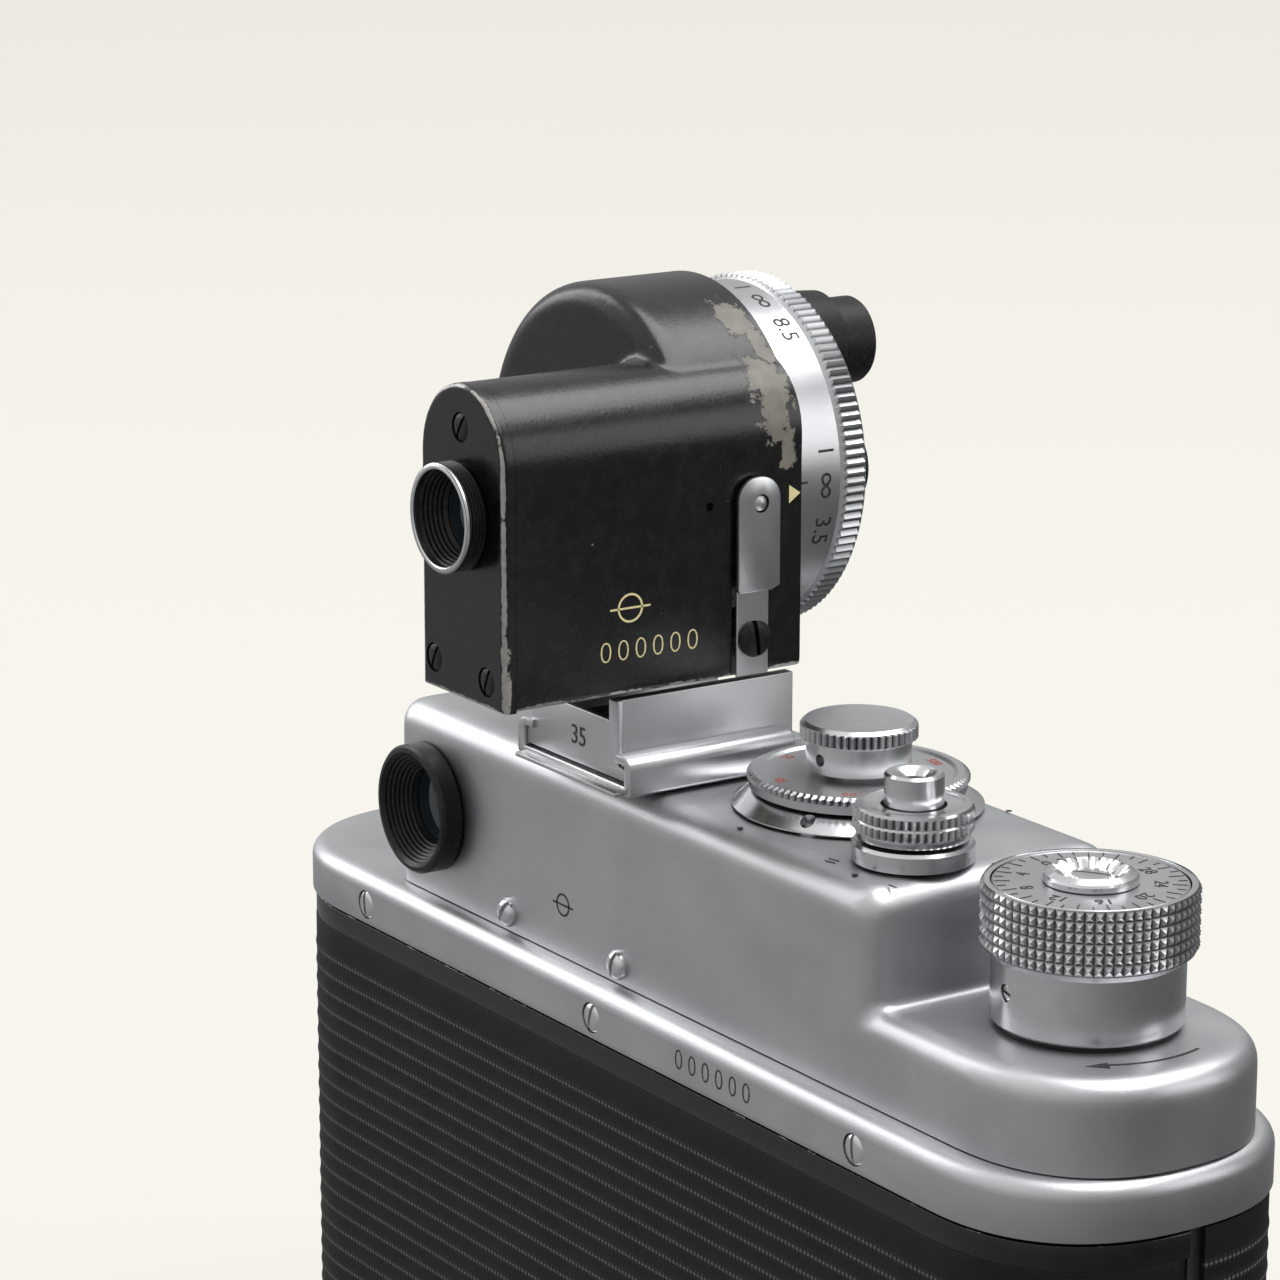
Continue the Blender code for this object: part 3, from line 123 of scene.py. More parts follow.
def plug(tree, node, inputs):
    """Fill a node's inputs: constants are set on their sockets, output sockets are linked."""
    for key, value in inputs.items():
        if isinstance(value, bpy.types.NodeSocket):
            tree.links.new(value, node.inputs[key])
        else:
            node.inputs[key].default_value = value


def add(tree, kind, inputs, out=0, stops=(), **settings):
    """Add a node with its settings, inputs and ramp stops (position, colour); returns one output."""
    node = tree.nodes.new("ShaderNode" + kind)
    for name, value in settings.items():
        setattr(node, name, value)
    plug(tree, node, inputs)
    if stops:
        points = node.color_ramp.elements
        while len(points) < len(stops):
            points.new(0.5)
        for point, (position, colour) in zip(points, stops):
            point.position, point.color = position, colour
    return node.outputs[out]


def material(name, **constants):
    """New material; returns it with its tree, shader and object coordinates in millimetres."""
    made = bpy.data.materials.new(name)
    made.use_nodes = True
    tree = made.node_tree
    shader = tree.nodes["Principled BSDF"]
    plug(tree, shader, {key.replace("_", " "): value for key, value in constants.items()})
    place = add(tree, "TexCoord", {}, "Object")
    return made, tree, shader, add(tree, "VectorMath", {0: place, 1: (1 / MM,) * 3}, operation="MULTIPLY")


def grimed(tree, colour):
    """Painted shade: darken a colour down in the cuts of a knurl."""
    groove = add(tree, "Attribute", {}, "Fac", attribute_name="groove")
    groove_shade = add(tree, "ValToRGB", {"Fac": groove}, stops=((0.35, grey(0.0)), (1.0, grey(0.80))))
    # painted shade: dark grey mixed in where the groove attribute is set
    return add(tree, "Mix", {0: groove_shade, 6: colour, 7: linear("#2c2c30")}, **BLEND)


def blasted_chrome(name, light, dark, roughness):
    """Chrome over bead-blasted brass: even satin grey that sparkles finely, a little dull in places."""
    made, tree, shader, place = material(name, Metallic=1.0)
    grain = add(tree, "TexNoise", {"Vector": place, "Scale": 1 / BLASTED_GRAIN, "Detail": 1.0})
    haze = add(tree, "TexNoise", {"Vector": place, "Scale": 1 / 9.0, "Detail": 3.0})
    specks = add(tree, "TexNoise", {"Vector": place, "Scale": 1 / 1.1, "Detail": 4.0, "Roughness": 0.7})
    colour = add(tree, "ValToRGB", {"Fac": haze}, stops=((0.3, linear(dark)), (0.7, linear(light))))
    stains = add(tree, "ValToRGB", {"Fac": specks}, stops=((0.62, grey(0.0)), (0.76, grey(0.14))))
    colour = add(tree, "Mix", {0: stains, 6: colour, 7: linear("#6d6a66")}, **BLEND)
    # Base Color gets painted shade in the cuts of a knurl
    plug(tree, shader, {
        "Base Color": grimed(tree, colour),
        "Roughness": add(tree, "Math", {0: haze, 1: 0.10, 2: roughness - 0.05}, operation="MULTIPLY_ADD"),
        "Normal": add(tree, "Bump", {"Height": grain, "Distance": 0.020 * MM, "Strength": 0.6}),
    })
    return made


def turned_chrome(name, tint, roughness, centre=None):
    """Chromed brass straight from the lathe: bright, with fine tool lines round the axis."""
    made, tree, shader, place = material(name, Metallic=1.0)
    wear = add(tree, "TexNoise", {"Vector": place, "Scale": 1 / 3.0, "Detail": 4.0, "Roughness": 0.6})
    specks = add(tree, "TexNoise", {"Vector": place, "Scale": 1 / 0.9, "Detail": 3.0, "Roughness": 0.7})
    colour = add(tree, "ValToRGB", {"Fac": wear}, stops=((0.3, linear(tint)), (0.8, linear("#dddee0"))))
    dirt = add(tree, "ValToRGB", {"Fac": specks}, stops=((0.66, grey(0.0)), (0.78, grey(0.25))))
    colour = add(tree, "Mix", {0: dirt, 6: colour, 7: linear("#77736e")}, **BLEND)
    if centre:
        off = add(tree, "VectorMath", {0: place, 1: centre}, operation="SUBTRACT")
        flat = add(tree, "VectorMath", {0: off, 1: (1, 1, 0)}, operation="MULTIPLY")
        reach = add(tree, "VectorMath", {0: flat}, "Value", operation="LENGTH")
        turns = add(tree, "Math", {0: reach, 1: math.tau / TOOL_LINES}, operation="MULTIPLY")
        lines = add(tree, "Math", {0: turns}, operation="SINE")
        marks = add(tree, "Bump", {"Height": lines, "Distance": 0.004 * MM, "Strength": 0.5})
    else:
        grain = add(tree, "TexNoise", {"Vector": place, "Scale": 1 / BRUSHED_GRAIN})
        marks = add(tree, "Bump", {"Height": grain, "Distance": 0.006 * MM, "Strength": 0.4})
    # Base Color gets painted shade in the cuts of a knurl
    plug(tree, shader, {
        "Base Color": grimed(tree, colour),
        "Roughness": add(tree, "Math", {0: wear, 1: 0.06, 2: roughness - 0.03}, operation="MULTIPLY_ADD"),
        "Normal": marks,
    })
    return made


def flaked_off(tree, place, patches):
    """How far enamel has flaked off, 0 to 1, in ragged patches round (centre, size) ellipsoids."""
    nearest = 100.0
    for centre, size in patches:
        off = add(tree, "VectorMath", {0: place, 1: centre}, operation="SUBTRACT")
        off = add(tree, "VectorMath", {0: off, 1: size}, operation="DIVIDE")
        reach = add(tree, "VectorMath", {0: off}, "Value", operation="LENGTH")
        nearest = add(tree, "Math", {0: nearest, 1: reach}, operation="MINIMUM")
    ragged = add(tree, "TexNoise", {"Vector": place, "Scale": 1 / 2.0, "Detail": 6.0, "Roughness": 0.72})
    border = add(tree, "Math", {0: ragged, 1: -3.2, 2: 2.6}, operation="MULTIPLY_ADD")
    inside = add(tree, "Math", {0: border, 1: nearest}, operation="SUBTRACT")
    return add(tree, "Math", {0: inside, 1: 14.0}, operation="MULTIPLY", use_clamp=True)


def worn_enamel(name, patches=()):
    """Black stove enamel on brass: glossy with a fine skin, rubbed to bare metal on its edges.

    In its patches the enamel has flaked off to grey primer.
    """
    made, tree, shader, place = material(name, Specular_IOR_Level=0.5)
    skin = add(tree, "TexNoise", {"Vector": place, "Scale": 1 / ENAMEL_SKIN})
    scuffs = add(tree, "TexNoise", {"Vector": place, "Scale": 1 / 1.6, "Detail": 5.0, "Roughness": 0.65})
    blotches = add(tree, "TexNoise", {"Vector": place, "Scale": 1 / 2.6, "Detail": 5.0, "Roughness": 0.7})
    chips = add(tree, "TexNoise", {"Vector": place, "Scale": 1 / 0.9, "Roughness": 0.6})
    streaks = add(tree, "TexNoise", {"Vector": place, "Scale": 1 / 0.7, "Detail": 3.0})
    clouds = add(tree, "TexNoise", {"Vector": place, "Scale": 1 / 1.6, "Detail": 4.0})
    edge = add(tree, "Attribute", {}, "Fac", attribute_name="edge")
    blotches = add(tree, "Math", {0: blotches, 1: 1.9}, operation="MULTIPLY")
    rubbed = add(tree, "Math", {0: edge, 1: blotches}, operation="MULTIPLY")
    rubbed = add(tree, "ValToRGB", {"Fac": rubbed}, stops=((0.74, grey(0.0)), (0.86, grey(0.9))))
    chips = add(tree, "ValToRGB", {"Fac": chips}, stops=((0.775, grey(0.0)), (0.80, grey(0.5))))
    bare = add(tree, "Math", {0: rubbed, 1: chips}, operation="MAXIMUM")
    flaked = flaked_off(tree, place, patches)
    gone = add(tree, "Math", {0: bare, 1: flaked}, operation="MAXIMUM")
    kept = add(tree, "Math", {0: 1.0, 1: gone}, operation="SUBTRACT")
    tones = ((0.35, linear("#070708")), (0.75, linear("#101012")))
    black = add(tree, "ValToRGB", {"Fac": scuffs}, stops=tones)
    metal = add(tree, "Mix", {0: streaks, 6: linear("#8f8c88"), 7: linear("#c9c8c6")}, **BLEND)
    primer = add(tree, "Mix", {0: clouds, 6: linear("#4c4a46"), 7: linear("#78746c")}, **BLEND)
    colour = add(tree, "Mix", {0: bare, 6: black, 7: metal}, **BLEND)
    gloss = add(tree, "ValToRGB", {"Fac": scuffs}, stops=((0.3, grey(0.23)), (0.75, grey(0.31))))
    peel = add(tree, "Bump", {"Height": skin, "Distance": 0.022 * MM, "Strength": 0.7})
    plug(
        tree, shader,
        {
            "Base Color": add(tree, "Mix", {0: flaked, 6: colour, 7: primer}, **BLEND),
            "Metallic": add(tree, "Math", {0: bare, 1: 0.85}, operation="MULTIPLY"),
            "Roughness": add(tree, "Mix", {0: gone, 6: gloss, 7: grey(0.46)}, **BLEND),
            "Normal": add(
                tree, "Bump", {"Height": kept, "Distance": 0.05 * MM, "Strength": 0.7, "Normal": peel}),})
    return made


def anodised_black(name, roughness=0.34):
    """Black anodised aluminium: satin black that catches light on its machined lines."""
    made, tree, shader, place = material(name, Metallic=0.25, Specular_IOR_Level=0.4)
    dust = add(tree, "TexNoise", {"Vector": place, "Scale": 1 / 0.5, "Detail": 4.0, "Roughness": 0.7})
    blotches = add(tree, "TexNoise", {"Vector": place, "Scale": 1 / 0.9, "Detail": 3.0, "Roughness": 0.7})
    grain = add(tree, "TexNoise", {"Vector": place, "Scale": 1 / MACHINED_GRAIN, "Detail": 1.0})
    colour = add(tree, "ValToRGB", {"Fac": dust}, stops=((0.5, linear("#0e0e10")), (0.8, linear("#2b2b2d"))))
    edge = add(tree, "Attribute", {}, "Fac", attribute_name="edge")
    blotches = add(tree, "Math", {0: blotches, 1: 1.8}, operation="MULTIPLY")
    rubbed = add(tree, "Math", {0: edge, 1: blotches}, operation="MULTIPLY")
    rubbed = add(tree, "ValToRGB", {"Fac": rubbed}, stops=((0.52, grey(0.0)), (0.66, grey(0.9))))
    satin = ((0.3, grey(roughness)), (0.8, grey(roughness + 0.16)))
    plug(tree, shader, {
        "Base Color": add(tree, "Mix", {0: rubbed, 6: colour, 7: linear("#a9a8a6")}, **BLEND),
        "Roughness": add(tree, "ValToRGB", {"Fac": dust}, stops=satin),
        "Normal": add(tree, "Bump", {"Height": grain, "Distance": 0.006 * MM, "Strength": 0.4}),
    })
    return made


def pressed_leatherette():
    """Vulcanised covering: dull black, ribbed lengthways, each rib topped by a row of fine bead bumps whose
    tops carry a painted highlight.
    """
    made, tree, shader, place = material("vulcanised_leatherette", Specular_IOR_Level=0.25)
    pebble = add(tree, "TexNoise", {"Vector": place, "Scale": 1 / PEBBLE})
    dust = add(tree, "TexNoise", {"Vector": place, "Scale": 1 / 4.0, "Detail": 5.0, "Roughness": 0.7})
    scuffs = add(tree, "TexNoise", {"Vector": place, "Scale": 1 / 0.9, "Detail": 3.0, "Roughness": 0.7})
    sheet = add(tree, "UVMap", {}, "UV", uv_map="sheet")
    along = add(tree, "SeparateXYZ", {0: sheet}, "X")
    across = add(tree, "SeparateXYZ", {0: sheet}, "Y")
    crest = add(tree, "Attribute", {}, "Fac", attribute_name="crest")
    beads_and_glints = add(tree, "Math", {0: along, 1: math.tau / BEAD_PITCH}, operation="MULTIPLY")
    beads_and_glints = add(tree, "Math", {0: beads_and_glints}, operation="SINE")
    beads_and_glints = add(tree, "Math", {0: beads_and_glints, 1: 0.5, 2: 0.5}, operation="MULTIPLY_ADD")
    beads_and_glints = add(tree, "Math", {0: beads_and_glints, 1: crest}, operation="MULTIPLY")
    fine = add(tree, "Math", {0: across, 1: math.tau / CROSS_PITCH}, operation="MULTIPLY")
    fine = add(tree, "Math", {0: fine}, operation="SINE")
    fine = add(tree, "Math", {0: fine, 1: 0.5}, operation="MULTIPLY")
    # painted highlight: the bead tops on each rib's crest are mixed to light grey; the same mask also raises
    # them as bumps
    colour = add(tree, "Mix", {0: beads_and_glints, 6: linear("#0b0b0c"), 7: linear("#5a5a5c")}, **BLEND)
    dulled = add(tree, "ValToRGB", {"Fac": scuffs}, stops=((0.66, grey(0.0)), (0.74, grey(0.45))))
    first = add(tree, "Bump", {"Height": pebble, "Distance": 0.05 * MM, "Strength": 0.8})
    second = add(tree, "Bump", {"Height": fine, "Distance": 0.02 * MM, "Strength": 0.5, "Normal": first})
    relief = {"Height": beads_and_glints, "Distance": 0.08 * MM, "Strength": 0.9, "Normal": second}
    plug(tree, shader, {
        "Base Color": add(tree, "Mix", {0: dulled, 6: colour, 7: linear("#242425")}, **BLEND),
        "Roughness": add(tree, "ValToRGB", {"Fac": dust}, stops=((0.3, grey(0.52)), (0.7, grey(0.68)))),
        "Normal": add(tree, "Bump", relief),
    })
    return made


def plain_paint(name, code, roughness=0.5):
    """Engraving filled with paint: flat colour, a little broken where the fill has worn."""
    made, tree, shader, place = material(name, Roughness=roughness)
    holes = add(tree, "TexNoise", {"Vector": place, "Scale": 1 / 0.25})
    holes = add(tree, "ValToRGB", {"Fac": holes}, stops=((0.55, grey(0.0)), (0.80, grey(0.45))))
    colour = add(tree, "Mix", {0: holes, 6: linear(code), 7: linear("#8c8a86")}, **BLEND)
    plug(tree, shader, {"Base Color": colour})
    return made


def coated_glass(name, tint):
    """Coated optical glass over a dark barrel: deep and clear, with a coloured sheen."""
    made, tree, shader, place = material(name, Transmission_Weight=0.55, IOR=1.62, Roughness=0.02)
    smear = add(tree, "TexNoise", {"Vector": place, "Scale": 1 / 2.0})
    colour = add(tree, "Mix", {0: smear, 6: linear(tint), 7: linear("#26303a")}, **BLEND)
    plug(tree, shader, {"Base Color": colour})
    return made


def dark_casting():
    """Die-cast aluminium painted matt black inside the body."""
    made, tree, shader, place = material("matt_black_casting")
    clouds = add(tree, "TexNoise", {"Vector": place, "Scale": 1 / 1.5, "Detail": 3.0})
    dust = add(tree, "TexNoise", {"Vector": place, "Scale": 1 / 0.4})
    grain = add(tree, "TexNoise", {"Vector": place, "Scale": 1 / 0.5})
    tones = ((0.3, linear("#151516")), (0.7, linear("#222224")))
    plug(tree, shader, {
        "Base Color": add(tree, "ValToRGB", {"Fac": clouds}, stops=tones),
        "Roughness": add(tree, "ValToRGB", {"Fac": dust}, stops=((0.3, grey(0.55)), (0.7, grey(0.75)))),
        "Normal": add(tree, "Bump", {"Height": grain, "Distance": 0.03 * MM, "Strength": 0.5}),
    })
    return made


def rubber_cloth():
    """Rubberised shutter silk: dull black with a fine weave."""
    made, tree, shader, place = material("rubberised_silk", Roughness=0.85)
    weave = add(
        tree, "TexWave", {"Vector": place, "Scale": 0.9, "Distortion": 0.2}, "Fac", bands_direction="X")
    colour = add(tree, "Mix", {0: weave, 6: linear("#0b0b0c"), 7: linear("#18181a")}, **BLEND)
    plug(tree, shader, {
        "Base Color": colour,
        "Normal": add(tree, "Bump", {"Height": weave, "Distance": 0.02 * MM, "Strength": 0.5}),
    })
    return made


# centre and half size of each place where the finder's enamel has flaked off
FLAKES = (
    ((8.2, -3.4, 130.0), (3.4, 1.8, 2.2)),
    ((5.2, -4.6, 127.4), (3.0, 1.1, 3.2)),
    ((2.4, -3.4, 124.0), (3.2, 2.5, 3.4)),
    ((0.9, -2.9, 121.0), (2.6, 2.3, 3.0)),
    ((-0.3, -4.2, 117.4), (1.6, 1.0, 2.8)),
    ((6.4, 8.2, 128.7), (1.3, 1.2, 0.8)),
)
SATIN = blasted_chrome("blasted_chrome", "#c6c7c9", "#bcbdc0", 0.42)
SATIN_FINE = blasted_chrome("fine_satin_chrome", "#cccdce", "#c0c1c4", 0.33)
BRIGHT = turned_chrome("bright_chrome", "#d2d3d5", 0.22)
SPRING_STEEL = turned_chrome("polished_spring_steel", "#cfd0d2", 0.30)
CASTING_ENAMEL = worn_enamel("finder_enamel", FLAKES)
CAP_ENAMEL = worn_enamel("cap_enamel")
BODY_ENAMEL = worn_enamel("body_enamel")
ANODISED = anodised_black("black_anodised")
LENS_TUBE = anodised_black("tube_anodised", 0.42)
LEATHERETTE = pressed_leatherette()
BLACK_FILL = plain_paint("black_fill", "#141414")
GOLD_FILL = plain_paint("cream_fill", "#c8bd8e")
RED_FILL = plain_paint("red_fill", "#9c4a3c")
GLASS = coated_glass("coated_glass", "#101820")
CLEAR_GLASS = coated_glass("window_glass", "#1b232b")
CASTING = dark_casting()
CLOTH = rubber_cloth()


# ---- shaping
FACING = {
    "UP": Matrix.Identity(4),
    "DOWN": Matrix.Rotation(math.pi, 4, "X"),
    "BACK": Matrix.Rotation(-math.pi / 2, 4, "X"),
    "FRONT": Matrix.Rotation(math.pi / 2, 4, "X"),
    "LEFT": Matrix.Rotation(math.pi / 2, 4, "Y"),
    "RIGHT": Matrix.Rotation(-math.pi / 2, 4, "Y"),
}
UPRIGHT = {
    "Z": Matrix.Identity(4),
    "Y": Matrix(((1, 0, 0, 0), (0, 0, 1, 0), (0, 1, 0, 0), (0, 0, 0, 1))),
    "X": Matrix(((0, 0, 1, 0), (1, 0, 0, 0), (0, 1, 0, 0), (0, 0, 0, 1))),
}


def faced(shape, place, facing="UP"):
    bmesh.ops.transform(shape, matrix=Matrix.Translation(place) @ FACING[facing], verts=shape.verts)
    return shape


def tidied(shape):
    """Merge doubles and face the shape outwards."""
    bmesh.ops.remove_doubles(shape, verts=shape.verts, dist=0.0005)
    bmesh.ops.recalc_face_normals(shape, faces=shape.faces)
    return shape


def spun(profile, steps=FINE):
    """Turn (radius, height) points, from the top down the outer side; off the axis it closes to a ring."""
    shape = bmesh.new()
    points = [shape.verts.new((radius, 0, height)) for radius, height in profile]
    pairs = list(zip(points, points[1:]))
    if profile[0][0] > 0 or profile[-1][0] > 0:
        pairs.append((points[-1], points[0]))
    edges = [shape.edges.new(pair) for pair in pairs]
    bmesh.ops.spin(shape, geom=points + edges, cent=(0, 0, 0), axis=(0, 0, 1), angle=math.tau,
                   steps=steps, use_merge=True, use_duplicate=False)
    return tidied(shape)


def rod(radius, low, high, steps=FINE):
    """Plain cylinder between two heights."""
    return spun([(0, high), (radius, high), (radius, low), (0, low)], steps)


def slab(outline, low, high, along="Z"):
    """Extrude a closed outline between two heights along an axis."""
    shape = bmesh.new()
    face = shape.faces.new([shape.verts.new((first, second, low)) for first, second in outline])
    grown = bmesh.ops.extrude_face_region(shape, geom=[face])
    moved = [item for item in grown["geom"] if isinstance(item, bmesh.types.BMVert)]
    bmesh.ops.translate(shape, vec=(0, 0, high - low), verts=moved)
    bmesh.ops.transform(shape, matrix=UPRIGHT[along], verts=shape.verts)
    return tidied(shape)


def block(low, high):
    outline = [(low[0], low[1]), (high[0], low[1]), (high[0], high[1]), (low[0], high[1])]
    return slab(outline, low[2], high[2])


def soften(shape, width, segments=2, angle=32.0, chosen=None):
    """Round the edges whose faces meet more sharply than an angle, or those that chosen keeps."""
    limit = math.radians(angle)
    edges = [edge for edge in shape.edges if len(edge.link_faces) == 2 and edge.calc_face_angle(0) > limit
             and (chosen is None or chosen(edge))]
    bmesh.ops.bevel(shape, geom=edges, offset=width, offset_type="OFFSET", segments=segments, profile=0.5,
                    affect="EDGES", material=-1, clamp_overlap=True)
    return shape


def at_height(height, axis=2, within=0.01):
    return lambda edge: all(abs(vert.co[axis] - height) < within for vert in edge.verts)


def loose(shape, name="loose"):
    mesh = bpy.data.meshes.new(name)
    shape.to_mesh(mesh)
    shape.free()
    made = bpy.data.objects.new(name, mesh)
    bpy.context.scene.collection.objects.link(made)
    return made


def evaluated(target, *others):
    """Mesh of an object with its modifiers, as a new shape; the objects are then removed."""
    bpy.context.view_layer.update()
    solid = target.evaluated_get(bpy.context.evaluated_depsgraph_get())
    shape = bmesh.new()
    shape.from_mesh(solid.to_mesh())
    for used in (target, *others):
        bpy.data.objects.remove(used, do_unlink=True)
    return shape


def carved(shape, *cutters, operation="DIFFERENCE"):
    """A shape with others cut from it, or joined to it."""
    target = loose(shape)
    tools = [loose(cutter) for cutter in cutters]
    for tool in tools:
        boolean = target.modifiers.new("carve", "BOOLEAN")
        boolean.operation, boolean.solver, boolean.object = operation, "EXACT", tool
    return evaluated(target, *tools)


def cast(shape, grid, rounds):
    """Melt a shape into one skin on a fine grid, its corners eased as a casting's are."""
    target = loose(shape)
    remesh = target.modifiers.new("skin", "REMESH")
    remesh.mode, remesh.voxel_size, remesh.adaptivity = "VOXEL", grid, 0.0
    smooth = target.modifiers.new("ease", "SMOOTH")
    smooth.factor, smooth.iterations = 0.5, rounds
    return evaluated(target)


def trimmed(shape, point, normal):
    """Cut off what lies beyond a plane and close the cut."""
    cut = bmesh.ops.bisect_plane(shape, geom=shape.verts[:] + shape.edges[:] + shape.faces[:], dist=0.0001,
                                 plane_co=point, plane_no=normal, clear_outer=True)
    rim = [item for item in cut["geom_cut"] if isinstance(item, bmesh.types.BMEdge)]
    bmesh.ops.holes_fill(shape, edges=rim, sides=0)
    return shape


def worn(shape, sharp):
    """Mark the outer corners, where a finish wears, in a vertex attribute named edge."""
    shape.normal_update()
    layer = shape.verts.layers.float.new("edge")
    for vert in shape.verts:
        turns = [edge.calc_face_angle_signed(0) for edge in vert.link_edges if len(edge.link_faces) == 2]
        vert[layer] = min(1.0, max(0.0, max(turns, default=0.0) / math.radians(sharp)))
    return shape


def finished(name, shape, body, look, slot, *nodes, smooth=38.0):
    """Make a shape a piece of the camera: millimetres to metres, finish, body and the nodes it stands for."""
    bmesh.ops.scale(shape, vec=(MM, MM, MM), verts=shape.verts)
    mesh = bpy.data.meshes.new(name)
    shape.to_mesh(mesh)
    shape.free()
    mesh.shade_smooth()
    mesh.set_sharp_from_angle(angle=math.radians(smooth))
    mesh.materials.append(look)
    piece = bpy.data.objects.new(name, mesh)
    bpy.context.scene.collection.objects.link(piece)
    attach(piece, body)
    if nodes:
        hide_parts(*nodes)
    return piece


def merged(*shapes):
    """Several closed shapes in one."""
    whole = bmesh.new()
    for shape in shapes:
        mesh = bpy.data.meshes.new("part")
        shape.to_mesh(mesh)
        shape.free()
        whole.from_mesh(mesh)
        bpy.data.meshes.remove(mesh)
    return whole


def knurled(profile, teeth, depth, low, high, pitch=None, radius=None):
    """Turned shape whose band from low to high is cut into ridges, or into pyramids at a pitch."""
    steps = 2 * teeth
    shape = spun(profile, steps)
    band = radius or max(point[0] for point in profile)
    # the groove attribute marks the cuts, where the chrome finishes paint shade
    groove = shape.verts.layers.float.new("groove")
    for vert in shape.verts:
        reach = math.hypot(vert.co.x, vert.co.y)
        if not (low - 0.01 <= vert.co.z <= high + 0.01 and abs(reach - band) < 0.05):
            continue
        column = round(math.atan2(vert.co.y, vert.co.x) / (math.tau / steps)) % 2
        row = 1 if pitch is None else round((vert.co.z - low) / (pitch / 2)) % 2
        if not (column and row):
            vert.co.xy *= (reach - depth) / reach
            vert[groove] = 1.0
    if pitch:
        def in_band(face):
            return len(face.verts) == 4 and all(
                low - 0.01 <= vert.co.z <= high + 0.01 and vert.co.xy.length > band - depth - 0.05
                for vert in face.verts)

        for face in [face for face in shape.faces if in_band(face)]:
            corners = list(face.verts)
            peak = max(range(4), key=lambda index: corners[index].co.xy.length)
            bmesh.utils.face_split(face, corners[peak], corners[(peak + 2) % 4])
    return shape


def screw_head(radius, height, slot, turn, dome=0.25):
    """Slotted round head, drawn upright with its seat at height 0."""
    head = spun([(0, height), (radius * 0.55, height - dome * 0.12), (radius * 0.86, height - dome * 0.5),
                 (radius, height - dome), (radius, 0), (0, 0)], 40)
    bit = block((-radius * 1.2, -slot / 2, height * 0.42), (radius * 1.2, slot / 2, height + 1))
    bmesh.ops.rotate(
        bit, cent=(0, 0, 0), matrix=Matrix.Rotation(math.radians(turn), 3, "Z"), verts=bit.verts)
    return carved(head, bit)


def figures(text, size, thickness=0.04, spacing=1.0, thinner=0.0):
    """Numerals as a thin raised shape, lying in X and Y about their middle."""
    curve = bpy.data.curves.new("figures", "FONT")
    curve.body, curve.size, curve.extrude = text, size, thickness / 2
    curve.align_x, curve.align_y = "CENTER", "CENTER"
    curve.space_character, curve.offset = spacing, -thinner
    curve.resolution_u = 3
    written = bpy.data.objects.new("figures", curve)
    bpy.context.scene.collection.objects.link(written)
    bpy.context.view_layer.update()
    shape = bmesh.new()
    mesh = bpy.data.meshes.new_from_object(written.evaluated_get(bpy.context.evaluated_depsgraph_get()))
    shape.from_mesh(mesh)
    bpy.data.meshes.remove(mesh)
    bpy.data.objects.remove(written, do_unlink=True)
    return tidied(shape)


def turned_by(shape, degrees, axis="Z"):
    bmesh.ops.rotate(
        shape, cent=(0, 0, 0), matrix=Matrix.Rotation(math.radians(degrees), 3, axis), verts=shape.verts)
    return shape


def moved(shape, x=0.0, y=0.0, z=0.0):
    bmesh.ops.translate(shape, vec=(x, y, z), verts=shape.verts)
    return shape


def wrapped(shape, radius):
    """Bend a flat shape, drawn in X (round) and Y (along), onto a cylinder along Z at radius."""
    for vert in shape.verts:
        angle, reach = vert.co.x / radius, radius + vert.co.z
        vert.co = (reach * math.cos(angle), reach * math.sin(angle), vert.co.y)
    return shape


# ---- outlines
def arc(radius, first, last, steps, x=0.0, y=0.0):
    """Points of an arc about (x, y), its ends in degrees."""
    angles = [math.radians(first + (last - first) * step / steps) for step in range(steps + 1)]
    return [(x + radius * math.cos(angle), y + radius * math.sin(angle)) for angle in angles]


def plan(inset, steps=44, half_length=None, half_depth=None, reach=None):
    """Plan outline of the body with blunt round ends, anticlockwise from the front of the rewind end."""
    long_half = (half_length or HALF_LENGTH) - inset
    deep_half = (half_depth or HALF_DEPTH) - inset
    end = (reach or END_REACH) - inset
    points = []
    for side, first in ((1, -90), (-1, 90)):
        for step in range(steps + 1):
            angle = math.radians(first + 180 * step / steps)
            across, upward = math.cos(angle), math.sin(angle)
            x = end * abs(across) ** (2 / END_POWER)
            y = deep_half * abs(upward) ** (2 / END_POWER)
            points.append((side * (long_half - end + x), math.copysign(y, upward)))
    return points


def arch(half, bottom, centre, x, steps=28):
    """Upright outline with a round top."""
    return [(x - half, bottom), (x + half, bottom)] + arc(half, 0, 180, steps, x, centre)


def round_box(x_low, x_high, y_low, y_high, radius, steps=8):
    points = []
    for x, y, first in ((x_high - radius, y_low + radius, -90), (x_high - radius, y_high - radius, 0),
                        (x_low + radius, y_high - radius, 90), (x_low + radius, y_low + radius, 180)):
        points += arc(radius, first, first + 90, steps, x, y)
    return points


# ---- body
def make_deck():
    deck = slab(plan(0), BAND_BOTTOM, SHELF)
    soften(deck, DECK_EDGE, 6, 32, at_height(SHELF))
    soften(deck, 0.25, 2, 32, at_height(BAND_BOTTOM))
    seats = [faced(rod(1.62, -0.6, 2, 40), (x, HALF_DEPTH, SHELF - SCREW_DROP), "BACK")
             for x, _ in DECK_SCREWS]
    deck = carved(deck, slab(plan(SHEET), BAND_BOTTOM - 5, SHELF - SHEET), *seats)
    finished("deck", deck, "camera_body", SATIN, "satin_chrome", "top_deck")
    for index, (x, turn) in enumerate(DECK_SCREWS):
        place = (x, HALF_DEPTH - 0.58, SHELF - SCREW_DROP)
        head = faced(screw_head(1.5, 0.75, 0.42, turn, 0.35), place, "BACK")
        finished("deck_screw_%d" % (index + 1), head, "camera_body", BRIGHT, "bright_chrome")


